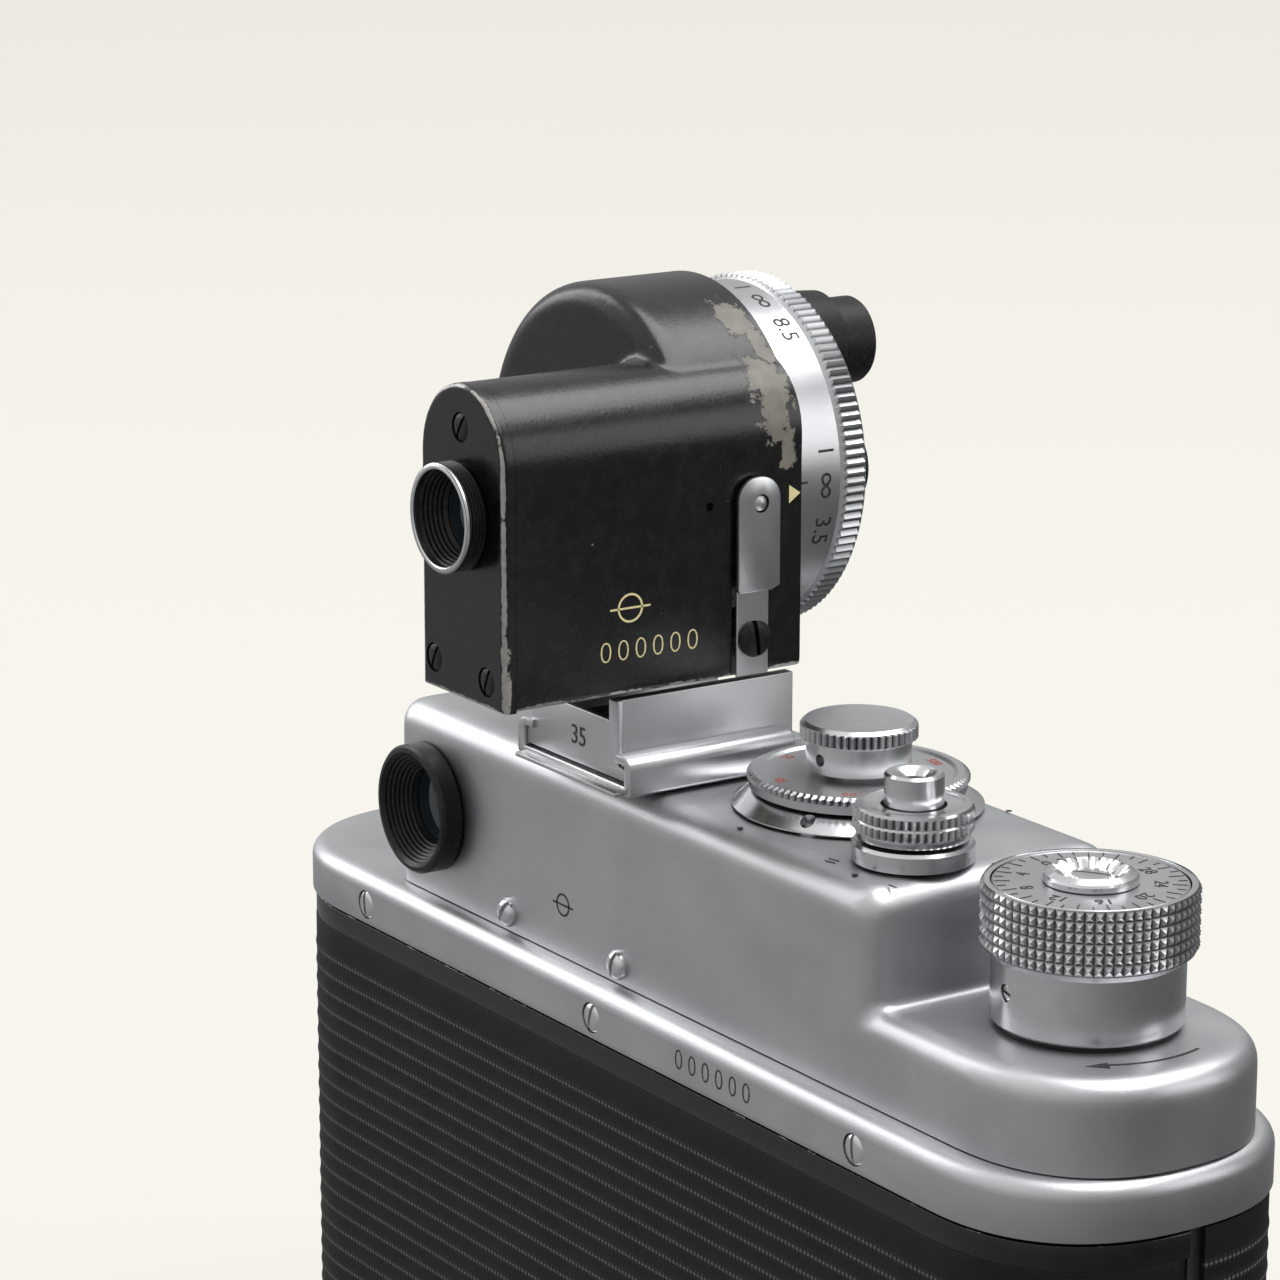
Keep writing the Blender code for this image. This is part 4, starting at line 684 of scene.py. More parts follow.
def make_housing():
    side, left = HOUSING_HIGH.y, HOUSING_HIGH.x
    winding_end = plan(0, 44, -HOUSING_LOW.x, side, END_REACH - 0.8)
    sunk = SHELF - 4
    tall = slab(round_box(STEP_X, left, -side, side, HOUSING_EDGE), sunk, HOUSING_HIGH.z)
    soften(tall, HOUSING_EDGE, 6, 32, at_height(HOUSING_HIGH.z))
    low_part = slab(
        [point for point in winding_end if point[0] < 0] + [(STEP_X + 9, -side), (STEP_X + 9, side)],
        sunk, PLATFORM)
    soften(low_part, PLATFORM_EDGE, 6, 32, lambda edge: at_height(PLATFORM)(edge) and
           not all(abs(vert.co.x - STEP_X - 9) < 0.01 for vert in edge.verts))
    skin = cast(merged(tall, low_part), 0.55, 5)
    skin = trimmed(skin, (0, 0, SHELF + 0.12), (0, 0, -1))
    eye, view, spot = middle("eyepiece_ring"), cad("viewfinder_window"), cad("rangefinder_window")
    hollow = block((STEP_X + 1.4, -side + 1.3, SHELF - 1), (left - 1.3, side - 1.3, HOUSING_HIGH.z - 1.5))
    low_hollow = block((-58, -side + 3, SHELF - 1), (STEP_X + 5, side - 3, PLATFORM - 1.5))
    gap = 0.25
    eye_hole = faced(rod(5.6, -9, 9, 48), (eye.x, side, eye.z), "BACK")
    spot_hole = faced(rod(3.4 + gap, -5, 5, 48),
                      ((spot[0].x + spot[1].x) / 2, -side, (spot[0].z + spot[1].z) / 2), "BACK")
    view_hole = block(
        (view[0].x - gap, -side - 4, view[0].z - gap), (view[1].x + gap, -side + 4, view[1].z + gap))
    holes = [hollow, low_hollow, eye_hole, spot_hole, view_hole]
    for node, radius in (("wind_knob", 3.3), ("speed_shaft", 3.3), ("release_button", 3.25)):
        axis = middle(node)
        holes.append(faced(rod(radius, -30, 30, 32), (axis.x, axis.y, 78)))
    skin = carved(skin, *holes)
    finished("housing", skin, "camera_body", SATIN, "satin_chrome", "top_housing", smooth=50.0)
    for index, (x, turn) in enumerate(HOUSING_SCREWS):
        head = faced(screw_head(1.55, 1.05, 0.5, turn, 0.7), (x, side - 0.02, SHELF + 2.1), "BACK")
        finished("housing_screw_%d" % (index + 1), head, "camera_body", BRIGHT, "bright_chrome")
    return side


def make_engravings(side):
    """Filled marks: winding arrow, index dots and bars on the deck, ring and number on the back."""
    curve = arc(12.2, 150, 198, 12)
    knob = middle("wind_knob")
    inner = [(x * 0.972, y * 0.972) for x, y in reversed(curve)]
    shaft = slab(curve + inner, 0, FILL)
    tip = Vector(curve[0])
    along = (Vector(curve[0]) - Vector(curve[1])).normalized()
    across = Vector((-along.y, along.x))
    head = [tip + along * 2.2, tip + across * 0.75, tip - across * 0.75]
    arrow = merged(shaft, slab([tuple(point) for point in head], 0, FILL))
    finished(
        "winding_arrow", faced(arrow, (knob.x, knob.y, PLATFORM + 0.005)), "camera_body", BLACK_FILL,
        "black_anodised")
    top = HOUSING_HIGH.z + 0.002
    dots = [moved(rod(0.33, 0, FILL, 20), x, y, top) for x, y in DECK_DOTS]
    bars = []
    for x, y, width, turn in DECK_BARS:
        bar = block((-width / 2, -0.11, 0), (width / 2, 0.11, FILL))
        bars.append(moved(turned_by(bar, turn), x, y, top))
    finished("deck_marks", merged(*dots, *bars), "camera_body", BLACK_FILL, "black_anodised")
    ring = spun([(1.25, FILL), (1.25, 0), (1.02, 0), (1.02, FILL)], 40)
    mark = merged(ring, block((-1.9, -0.11, 0), (1.9, 0.11, FILL)))
    mark = faced(mark, (11.8, side - 0.005, SHELF + 5.7), "BACK")
    number = faced(
        turned_by(figures("000000", 3.1, spacing=1.5, thinner=0.04), 180),
        (-19.2, HALF_DEPTH - 0.005, SHELF - 3.3), "BACK")
    finished("body_marks", merged(mark, number), "camera_body", BLACK_FILL, "black_anodised")


def front_half():
    """Cutter for all that lies in front of the seam, for shells that are open there."""
    return block((-80, -40, -10), (80, 0.3, 90))


def make_back_shell():
    """Removable back: base plate, wall and the bare rim above the covering."""
    base = slab(plan(COVER_INSET), 0, 2.0)
    soften(base, 0.6, 3, 32, at_height(0))
    soften(base, 0.2, 1, 32, at_height(2.0))
    holes = []
    for node, radius in (("lock_disc_left", 8.3), ("lock_disc_right", 8.3), ("tripod_bush", 5.3)):
        axis = middle(node)
        y = 0 if node != "tripod_bush" else axis.y
        holes.append(faced(rod(radius, -9, 9, 64), (axis.x, y, 0)))
    base = carved(base, *holes)
    top = BAND_BOTTOM - 0.3
    wall = carved(slab(plan(SKIN_INSET), 1.5, top), slab(plan(SKIN_INSET + 1.2), 0, 90), front_half())
    rim = slab(plan(0.35), BAND_BOTTOM - 2.9, top)
    soften(rim, 0.2, 2, 50)
    rim = carved(worn(rim, 60.0), slab(plan(SKIN_INSET + 0.6), 0, 90), front_half())
    finished("back_shell", merged(base, wall, rim), "back_cover", BODY_ENAMEL, "black_enamel", "back_cover")


def covering(name, body, node, facing, low, high, holes=()):
    """Half of the covering: a thin sheet round the body, plain along its borders and ribbed between."""
    pitch, plain, height, skin = 2.15, 2.6, 0.10, 0.45
    squeeze = 0.2            # shortens the body, so that its outline can be followed by angle
    outline = [point for point in plan(COVER_INSET + height, 60) if point[1] * facing > 0.16]
    outline.sort(key=lambda point: -math.atan2(point[1] * facing * squeeze, point[0]))
    dense = [outline[0]]
    for point in outline[1:]:
        gap = math.dist(dense[-1], point)
        parts = max(1, round(gap / 3.0))
        start = dense[-1]
        for part in range(1, parts + 1):
            dense.append(tuple(Vector(start).lerp(Vector(point), part / parts)))
    lengths = [0.0]
    for first, second in zip(dense, dense[1:]):
        lengths.append(lengths[-1] + math.dist(first, second))
    ribs = int((high - low - 2 * plain) / pitch)
    start = high - plain - ribs * pitch
    levels = [(low, 0.0, 0.0), (start, 0.0, 0.0)]  # height, rise of the surface, share of beads
    for rib in range(ribs):
        base = start + rib * pitch
        levels += [
            (base + pitch * 0.22, 0.0, 0.0), (base + pitch * 0.40, 0.7, 0.1),
            (base + pitch * 0.5, 1.0, 1.0), (base + pitch * 0.60, 0.7, 0.1),
            (base + pitch * 0.78, 0.0, 0.0)]
    levels += [(high - plain + 0.3, 0.0, 0.0), (high - 0.3, 0.0, 0.0), (high, -0.8, 0.0)]
    shape = bmesh.new()
    bmesh.ops.create_grid(shape, x_segments=len(dense) - 1, y_segments=len(levels) - 1, size=0.5)
    crest = shape.verts.layers.float.new("crest")
    sheet_uv = shape.loops.layers.uv.new("sheet")
    for vert in shape.verts:
        column = round((vert.co.x + 0.5) * (len(dense) - 1))
        row = round((vert.co.y + 0.5) * (len(levels) - 1))
        x, y = dense[column]
        before, after = dense[max(0, column - 1)], dense[min(len(dense) - 1, column + 1)]
        tangent = Vector((after[0] - before[0], after[1] - before[1])).normalized()
        outward = Vector((-tangent.y, tangent.x))
        if outward.dot(Vector((x * squeeze, y))) < 0:
            outward.negate()
        z, rise, crest_value = levels[row]
        vert.co = (x + outward.x * rise * height, y + outward.y * rise * height, z)
        vert[crest] = crest_value
        for loop in vert.link_loops:
            loop[sheet_uv].uv = (lengths[column], z)
    bmesh.ops.recalc_face_normals(shape, faces=shape.faces)
    if sum(face.normal.y * face.calc_area() for face in shape.faces) * facing < 0:
        bmesh.ops.reverse_faces(shape, faces=shape.faces)
    bmesh.ops.solidify(shape, geom=shape.faces, thickness=skin)
    if holes:
        shape = carved(shape, *holes)
    finished(name, shape, body, LEATHERETTE, "black_covering", node, smooth=80.0)


def make_coverings():
    low, high = cad("back_covering")
    covering("back_leatherette", "back_cover", "back_covering", 1, low.z, high.z)
    low, high = cad("front_covering")
    holes = []
    for node, radius in (("lens_mount_ring", 21.8), ("self_timer_lever", 5.5), ("sync_socket", 3.5)):
        axis = middle(node)
        z = axis.z if node != "self_timer_lever" else cad(node)[1].z - 5.2
        holes.append(faced(rod(radius, 5, 40, 64), (axis.x, 0, z), "FRONT"))
    covering("front_leatherette", "camera_body", "front_covering", -1, low.z, high.z, holes)


# ---- knobs and dials on the deck
def dial_marks(count, inner, long_inner, outer, every, width=0.11):
    """Engraved lines round a dial."""
    lines = []
    for index in range(count):
        start = long_inner if index % every == 0 else inner
        lines.append(
            turned_by(block((start, -width / 2, 0), (outer, width / 2, FILL)), 360 * index / count))
    return lines


def make_winding_knob():
    low, high = cad("wind_knob")
    axis = middle("wind_knob")
    outer = (high.x - low.x) / 2
    skirt = outer - 1.17
    shaft = 2.6
    foot = PLATFORM + 0.5
    waist = foot + 6.9
    pitch, rows = 1.03, 6
    band_low = waist + 0.25
    band_high = band_low + pitch * rows
    recess = high.z - 1.6
    dial = outer - 0.95
    levels = [(outer, band_high - pitch * step / 2) for step in range(2 * rows + 1)]
    profile = [(0, recess), (dial, recess), (dial, high.z - 0.18), (outer - 0.6, high.z - 0.15),
               (outer - 0.42, high.z - 0.2)]
    profile += levels + [
        (outer - 0.35, band_low - 0.12), (skirt + 0.25, waist - 0.35), (skirt, waist - 0.6),
        (skirt, foot + 0.25), (skirt - 0.2, foot), (skirt - 1.2, foot), (skirt - 1.2, foot + 0.5),
        (shaft, foot + 0.5), (shaft, low.z), (0, low.z)]
    knob = knurled(profile, 68, 0.34, band_low, band_high, pitch, outer)
    set_hole = turned_by(faced(rod(0.85, -1.2, 3, 24), (skirt, 0, foot + 3.7), "LEFT"), 84)
    knob = faced(carved(knob, set_hole), (axis.x, axis.y, 0))
    finished("winding_knob", knob, "wind_knob", BRIGHT, "bright_chrome", "wind_knob", smooth=22.0)
    screw = turned_by(
        faced(screw_head(0.72, 1.0, 0.28, 80, 0.1), (skirt - 1.15, 0, foot + 3.7), "LEFT"), 84)
    finished("knob_set_screw", faced(screw, (axis.x, axis.y, 0)), "wind_knob", BRIGHT, "bright_chrome")
    # Painted shade: a black anodised ring under the knob's skirt stands for the shade in the gap below it
    shade_ring = spun(
        [
            (shaft + 1, foot + 0.35), (skirt - 1.3, foot + 0.35), (skirt - 1.3, foot - 0.1),
            (skirt - 0.5, foot - 0.1), (skirt - 0.5, PLATFORM + 0.02), (shaft + 1, PLATFORM + 0.02)])
    finished("knob_shade_ring", faced(shade_ring, (axis.x, axis.y, 0)), "camera_body", ANODISED, "black_anodised")
    disc_low, disc_high = cad("frame_counter_dial")
    plate = dial - 0.12
    disc = spun(
        [
            (1.9, disc_high.z), (plate - 0.15, disc_high.z), (plate, disc_high.z - 0.15),
            (plate, disc_low.z), (1.9, disc_low.z)])
    finished("counter_disc", faced(disc, (axis.x, axis.y, 0)), "frame_counter", SATIN_FINE, "satin_chrome",
             "frame_counter_dial")
    marks = dial_marks(38, plate - 1.1, plate - 1.7, plate - 0.25, 2)
    for index in range(0, 38, 4):
        number = moved(turned_by(figures(str(index), 1.9), -90), plate - 2.8)
        marks.append(turned_by(number, 360 * index / 38))
    marks = faced(merged(*marks), (axis.x, axis.y, disc_high.z + 0.01))
    finished("counter_figures", marks, "frame_counter", BLACK_FILL, "black_anodised")
    nut_low, nut_high = cad("counter_nut")
    reach = (nut_high.x - nut_low.x) / 2
    seat = disc_high.z + 0.1
    top = nut_high.z
    hollow, crown = reach * 0.52, reach * 0.66
    nut = [
        (0, top - 0.9), (hollow, top - 0.9), (crown, top - 0.1), (reach * 0.8, top),
        (reach * 0.96, top - 0.35), (reach, top - 0.6), (reach, seat), (0, seat)]
    star = spun(nut, 64)
    for vert in star.verts:
        distance = vert.co.xy.length
        lobe = abs(math.cos(8 * math.atan2(vert.co.y, vert.co.x)))
        if crown - 0.1 < distance < crown + 0.1:
            vert.co.z -= 0.6 * lobe
    star = merged(star, faced(screw_head(hollow * 0.8, 0.5, 0.4, 35, 0.1), (0, 0, top - 0.9)))
    finished("counter_star_nut", faced(star, (axis.x, axis.y, 0)), "frame_counter", BRIGHT, "bright_chrome",
             "counter_nut", smooth=25.0)


def make_rewind():
    low, high = cad("rewind_knob")
    axis = middle("rewind_knob")
    outer = (high.x - low.x) / 2
    band_low, band_high = low.z + 1.9, high.z - 0.9
    profile = [
        (0, high.z - 0.35), (outer - 2.4, high.z - 0.35), (outer - 2.0, high.z), (outer - 0.8, high.z),
        (outer - 0.15, high.z - 0.55), (outer, band_high), (outer, band_low),
        (outer - 0.2, band_low - 0.2), (outer - 1.0, low.z), (2.6, low.z), (2.6, low.z + 2),
        (0, low.z + 2)]
    knob = knurled(profile, 60, 0.34, band_low, band_high, None, outer)
    finished(
        "rewind_grip", faced(knob, (axis.x, axis.y, 0)), "rewind_knob", BRIGHT, "bright_chrome",
        "rewind_knob", smooth=30.0)
    arrow = [(-2.6, 0.15), (-2.6, -0.15), (1.4, -0.15), (1.4, -0.7), (2.8, 0), (1.4, 0.7), (1.4, 0.15)]
    finished(
        "rewind_arrow", faced(slab(arrow, 0, FILL), (axis.x, axis.y, high.z - 0.345)), "rewind_knob",
        BLACK_FILL, "black_anodised")


def make_speed_dial():
    axis = middle("speed_knob")
    place = (axis.x, axis.y, 0)
    low, high = cad("speed_dial_flange")
    flange = (high.x - low.x) / 2
    cone = [
        (flange - 2.1, high.z), (flange - 1.6, high.z - 0.15), (flange - 0.25, low.z + 0.25),
        (flange, low.z + 0.12), (flange, low.z), (3.3, low.z), (3.3, high.z)]
    base = spun(cone)
    hole = turned_by(moved(rod(0.75, -1.3, 3, 24), flange - 1.25, 0, low.z + 1.0), 118)
    finished("dial_base", faced(carved(base, hole), place), "camera_body", BRIGHT, "bright_chrome",
             "speed_dial_flange", smooth=30.0)
    low, high = cad("sync_ring")
    ring = (high.x - low.x) / 2
    tooth = high.z - 0.72
    body = [(3.3, high.z - 0.25), (ring - 1.6, high.z - 0.25), (ring - 1.25, high.z), (ring - 0.55, high.z),
            (ring, high.z - 0.3), (ring, tooth), (ring - 0.25, tooth - 0.12), (ring - 0.25, low.z + 0.1),
            (ring - 0.35, low.z), (3.3, low.z)]
    ring_shape = knurled(body, 86, 0.42, tooth, high.z - 0.29, None, ring)
    finished(
        "speed_ring", faced(ring_shape, place), "sync_ring", SATIN_FINE, "satin_chrome", "sync_ring",
        smooth=30.0)
    marks = []
    labels = ("25", "50", "100", "B", "500", "250")
    for index, label in enumerate(labels):
        number = moved(turned_by(figures(label, 1.5), -90), ring - 2.7)
        marks.append(turned_by(number, 20 + 60 * index))
    finished(
        "speed_figures", faced(merged(*marks), (axis.x, axis.y, high.z - 0.24)), "sync_ring", RED_FILL,
        "black_anodised")
    low, high = cad("speed_knob")
    cap = (high.x - low.x) / 2
    shoulder = high.z - 1.75
    post = cap - 0.62
    profile = [
        (0, high.z - 0.38), (cap - 1.1, high.z - 0.06), (cap - 0.5, high.z), (cap - 0.1, high.z - 0.32),
        (cap, high.z - 0.5), (cap, shoulder), (cap - 0.4, shoulder - 0.12), (post, shoulder - 0.2),
        (post, low.z + 0.1), (post - 0.15, low.z), (3.3, low.z), (3.3, high.z - 2.2), (0, high.z - 2.2)]
    knob = knurled(profile, 46, 0.40, shoulder, high.z - 0.49, None, cap)
    pin = turned_by(faced(rod(0.62, -1.9, 3, 24), (post, 0, low.z + 1.5), "LEFT"), 97)
    spun_chrome = turned_chrome("spun_chrome", "#cfd0d2", 0.26, (axis.x, axis.y, 0))
    finished("speed_grip", faced(carved(knob, pin), place), "speed_knob", spun_chrome, "bright_chrome",
             "speed_knob", smooth=30.0)


def make_release():
    axis = middle("release_button")
    place = (axis.x, axis.y, 0)
    low, high = cad("release_foot")
    foot = (high.x - low.x) / 2
    base = [
        (3.2, high.z), (foot - 0.7, high.z), (foot - 0.25, high.z - 0.12), (foot, high.z - 0.45),
        (foot, low.z), (3.2, low.z)]
    finished(
        "release_base", faced(spun(base), place), "camera_body", BRIGHT, "bright_chrome",
        "release_foot", smooth=30.0)
    low, high = cad("release_collar")
    outer = (high.x - low.x) / 2
    rows = ((high.z - 0.42, high.z - 1.22), (high.z - 1.62, high.z - 2.42))
    profile = [
        (3.2, high.z - 0.2), (outer - 1.3, high.z - 0.2), (outer - 0.9, high.z),
        (outer - 0.3, high.z - 0.06)]
    for top, bottom in rows:
        profile += [(outer - 0.22, top + 0.1), (outer, top), (outer, bottom), (outer - 0.3, bottom - 0.12)]
    profile += [
        (outer - 0.75, rows[1][1] - 0.3), (outer - 0.75, low.z + 0.35), (outer - 0.3, low.z),
        (3.2, low.z)]
    ring = knurled(profile, 44, 0.40, rows[1][1], rows[0][0], None, outer)
    finished(
        "release_grip", faced(ring, place), "release_collar", BRIGHT, "bright_chrome", "release_collar",
        smooth=30.0)
    low, high = cad("release_button")
    outer = (high.x - low.x) / 2
    button = [
        (0, high.z - 3.2), (1.25, high.z - 2.9), (1.25, high.z - 1.7), (1.45, high.z - 1.55),
        (1.25, high.z - 1.4), (1.25, high.z - 1.1), (1.45, high.z - 0.95), (1.25, high.z - 0.8),
        (1.55, high.z - 0.45), (2.15, high.z - 0.06), (2.35, high.z), (outer - 0.25, high.z),
        (outer, high.z - 0.25), (outer, low.z), (0, low.z)]
    finished("release_plunger", faced(spun(button, 64), place), "release_button", BRIGHT, "bright_chrome",
             "release_button", smooth=30.0)


def make_eyepiece():
    low, high = cad("eyepiece_ring")
    axis = middle("eyepiece_ring")
    outer = (high.x - low.x) / 2
    face = high.y
    seat = HOUSING_HIGH.y + 0.3
    profile = [
        (outer - 0.75, face), (outer - 0.3, face - 0.08), (outer, face - 0.4), (outer, seat),
        (5.3, seat), (5.3, low.y), (4.0, low.y), (4.0, seat - 0.9)]
    for step in range(7):
        radius = 4.15 + 0.28 * step
        depth = seat - 0.6 + (face - seat + 0.3) * step / 7
        profile += [(radius, depth), (radius + 0.05, depth + 0.26)]
    finished("eyepiece_rim", faced(spun(profile), (axis.x, 0, axis.z), "BACK"), "camera_body", ANODISED,
             "black_anodised", "eyepiece_ring", smooth=25.0)
    glass = spun([(0, 0.5), (2.4, 0.3), (4.2, -0.25), (4.2, -2.4), (0, -2.4)], 64)
    finished("eyepiece_glass", faced(glass, (axis.x, seat - 0.9, axis.z), "BACK"), "camera_body", GLASS,
             "optical_glass", "eyepiece_lens")


# ---- accessory shoe and turret finder
def make_shoe():
    low, high = cad("accessory_shoe")
    centre, half = (low.x + high.x) / 2, (high.x - low.x) / 2
    top = high.z
    inner, floor = half - 1.25, low.z + 1.0
    lip = inner - 1.6
    right = [(half, low.z + 0.35), (half, low.z + 1.5)]
    right += arc(1.3, 0, 90, 5, half - 1.3, top - 1.3)
    right += [(lip, top), (lip, top - 0.9), (inner, top - 0.9), (inner, floor)]
    right = [(half - 0.5, low.z)] + right
    outline = [(centre + x, z) for x, z in right] + [(centre - x, z) for x, z in reversed(right)]
    channel = soften(slab(outline, low.y, high.y, "Y"), 0.18, 2, 40)
    tongue = soften(
        block(
            (centre - half + 1.2, high.y - 0.9, low.z + 0.05),
            (centre + half - 1.2, high.y + 1.1, low.z + 0.55)),
        0.15, 2)
    finished(
        "shoe_channel", merged(channel, tongue), "camera_body", SATIN_FINE, "bright_chrome",
        "accessory_shoe", smooth=40.0)
    low, high = cad("finder_foot")
    bottom, wall_top = low.z, high.z
    plate, neck = (high.x - low.x) / 2, lip - 0.3
    ledge = top + 0.8
    right = [
        (plate, bottom), (plate, top - 1.3), (neck, top - 1.3), (neck, wall_top),
        (neck - 1.4, wall_top), (neck - 1.4, ledge)]
    outline = [(centre + x, z) for x, z in right] + [(centre - x, z) for x, z in reversed(right)]
    bracket = soften(slab(outline, low.y, high.y, "Y"), 0.15, 2, 40)
    wide, narrow = plate + 0.1, neck + 0.35
    end_plate = [
        (centre - wide, bottom + 0.1), (centre + wide, bottom + 0.1), (centre + wide, bottom + 1.3),
        (centre + narrow - 0.6, wall_top - 2.2), (centre - narrow + 1.6, wall_top - 2.2),
        (centre - narrow + 1.6, wall_top), (centre - narrow, wall_top), (centre - narrow, bottom + 1.5),
        (centre - wide, bottom + 1.3)]
    end_plate = soften(slab(end_plate, high.y - 0.2, high.y + 0.5, "Y"), 0.12, 2, 40)
    finished(
        "finder_bracket", merged(bracket, end_plate), "turret_finder", SATIN, "satin_chrome",
        "finder_foot", smooth=40.0)
    label = turned_by(figures("35", 2.9), 180)
    label = faced(label, (centre - 0.6, high.y + 0.51, bottom + 2.9), "BACK")
    finished("bracket_figures", label, "turret_finder", BLACK_FILL, "black_anodised")


def make_finder():
    low, high = cad("finder_body")
    front, back = low.y, CAP_LOW.y
    drum_back = cad("turret_spindle")[1].y - 1.5
    tube = slab(arch(FINDER_HALF, CAP_LOW.z, ARCH_Z, FINDER_X), front - 3, back + 3, "Y")
    soften(tube, 0.35, 2, 60, lambda edge: abs(edge.verts[0].co.z - CAP_LOW.z) < 0.01)
    drum = spun(
        [
            (0, drum_back), (DRUM_RADIUS - 2.0, drum_back), (DRUM_RADIUS - 0.95, drum_back - 0.27),
            (DRUM_RADIUS - 0.27, drum_back - 0.95), (DRUM_RADIUS, drum_back - 2.0),
            (DRUM_RADIUS, front - 3), (0, front - 3)],
        144)
    drum = faced(drum, (TURRET_X, 0, TURRET_Z), "BACK")
    skin = worn(cast(merged(tube, drum), 0.42, 5), 24.0)
    skin = trimmed(skin, (0, back - 0.05, 0), (0, 1, 0))
    skin = trimmed(skin, (0, front, 0), (0, -1, 0))
    spring = cad("detent_spring")
    recess = block((CAP_LOW.x - 1, -1.6, CAP_LOW.z - 2), (CAP_LOW.x + 0.35, 2.6, spring[1].z - 11.2))
    hollow = faced(rod(DRUM_RADIUS - 3, -9, 9, 64), (TURRET_X, front, TURRET_Z), "BACK")
    pin_hole = faced(
        spun([(0, 1), (0.55, 1), (0.4, -0.6), (0, -0.6)], 20), (CAP_LOW.x, 5.4, 113.0), "RIGHT")
    skin = carved(skin, recess, hollow, pin_hole)
    finished(
        "finder_casting", skin, "turret_finder", CASTING_ENAMEL, "black_enamel", "finder_body",
        smooth=60.0)
    cap = slab(arch(FINDER_HALF + 0.02, CAP_LOW.z, ARCH_Z, FINDER_X), CAP_LOW.y, CAP_HIGH.y, "Y")
    soften(cap, 0.45, 3, 32, at_height(CAP_HIGH.y, 1))
    faces = [face for face in cap.faces if face.normal.y > 0.99]
    bmesh.ops.inset_region(cap, faces=faces, thickness=0.25)
    bmesh.ops.bisect_plane(
        cap, geom=cap.verts[:] + cap.edges[:] + cap.faces[:], plane_co=(0, CAP_HIGH.y - 0.7, 0),
        plane_no=(0, 1, 0), dist=0.0001)
    cap = worn(cap, 28.0)
    layer = cap.verts.layers.float["edge"]
    for vert in cap.verts:
        if vert.co.y < CAP_LOW.y + 0.1:
            vert[layer] = 0.0
    eye = middle("finder_eyepiece")
    seats = [faced(rod(4.95, -5, 5, 64), (FINDER_X, CAP_HIGH.y, eye.z), "BACK")]
    for x, z, _ in CAP_SCREWS:
        seats.append(faced(rod(1.5, -0.5, 2, 32), (x, CAP_HIGH.y, z), "BACK"))
    finished("finder_cap", carved(cap, *seats), "turret_finder", CAP_ENAMEL, "black_enamel",
             "finder_rear_cap", smooth=40.0)
    for index, (x, z, turn) in enumerate(CAP_SCREWS):
        head = faced(screw_head(1.36, 0.5, 0.36, turn, 0.2), (x, CAP_HIGH.y - 0.45, z), "BACK")
        finished("cap_screw_%d" % (index + 1), head, "turret_finder", ANODISED, "black_anodised")
    low, high = cad("finder_eyepiece")
    outer, rim, seat = (high.x - low.x) / 2, high.y, CAP_HIGH.y
    profile = [(outer - 0.28, rim), (outer - 0.1, rim - 0.05), (outer, rim - 0.3)]
    for step in range(5):
        depth = rim - 0.5 - 0.38 * step
        profile += [(outer, depth), (outer - 0.24, depth - 0.12), (outer - 0.24, depth - 0.22)]
    profile += [(outer - 0.45, seat + 0.1), (4.7, seat), (4.7, low.y), (3.6, low.y), (3.6, seat - 0.6)]
    for step in range(6):
        depth = seat - 0.4 + (rim - seat) * step / 6.5
        profile += [(3.75 + 0.2 * step, depth), (3.75 + 0.2 * step + 0.16, depth + 0.16)]
    finished("finder_ocular", faced(spun(profile), (FINDER_X, 0, eye.z), "BACK"), "turret_finder", ANODISED,
             "black_anodised", "finder_eyepiece", smooth=25.0)
    lip = spun(
        [
            (outer - 0.62, rim - 0.1), (outer - 0.5, rim + 0.0), (outer - 0.2, rim),
            (outer - 0.02, rim - 0.12), (outer + 0.0, rim - 0.3), (outer - 0.62, rim - 0.3)])
    finished(
        "ocular_lip", faced(lip, (FINDER_X, 0, eye.z), "BACK"), "turret_finder", SPRING_STEEL,
        "bright_chrome")
    glass = faced(
        spun([(0, 0.2), (2.0, 0.05), (3.4, -0.4), (3.4, -1.2), (0, -1.2)], 48),
        (FINDER_X, seat - 0.2, eye.z), "BACK")
    finished("ocular_glass", glass, "turret_finder", GLASS, "optical_glass", "finder_eye_lens")


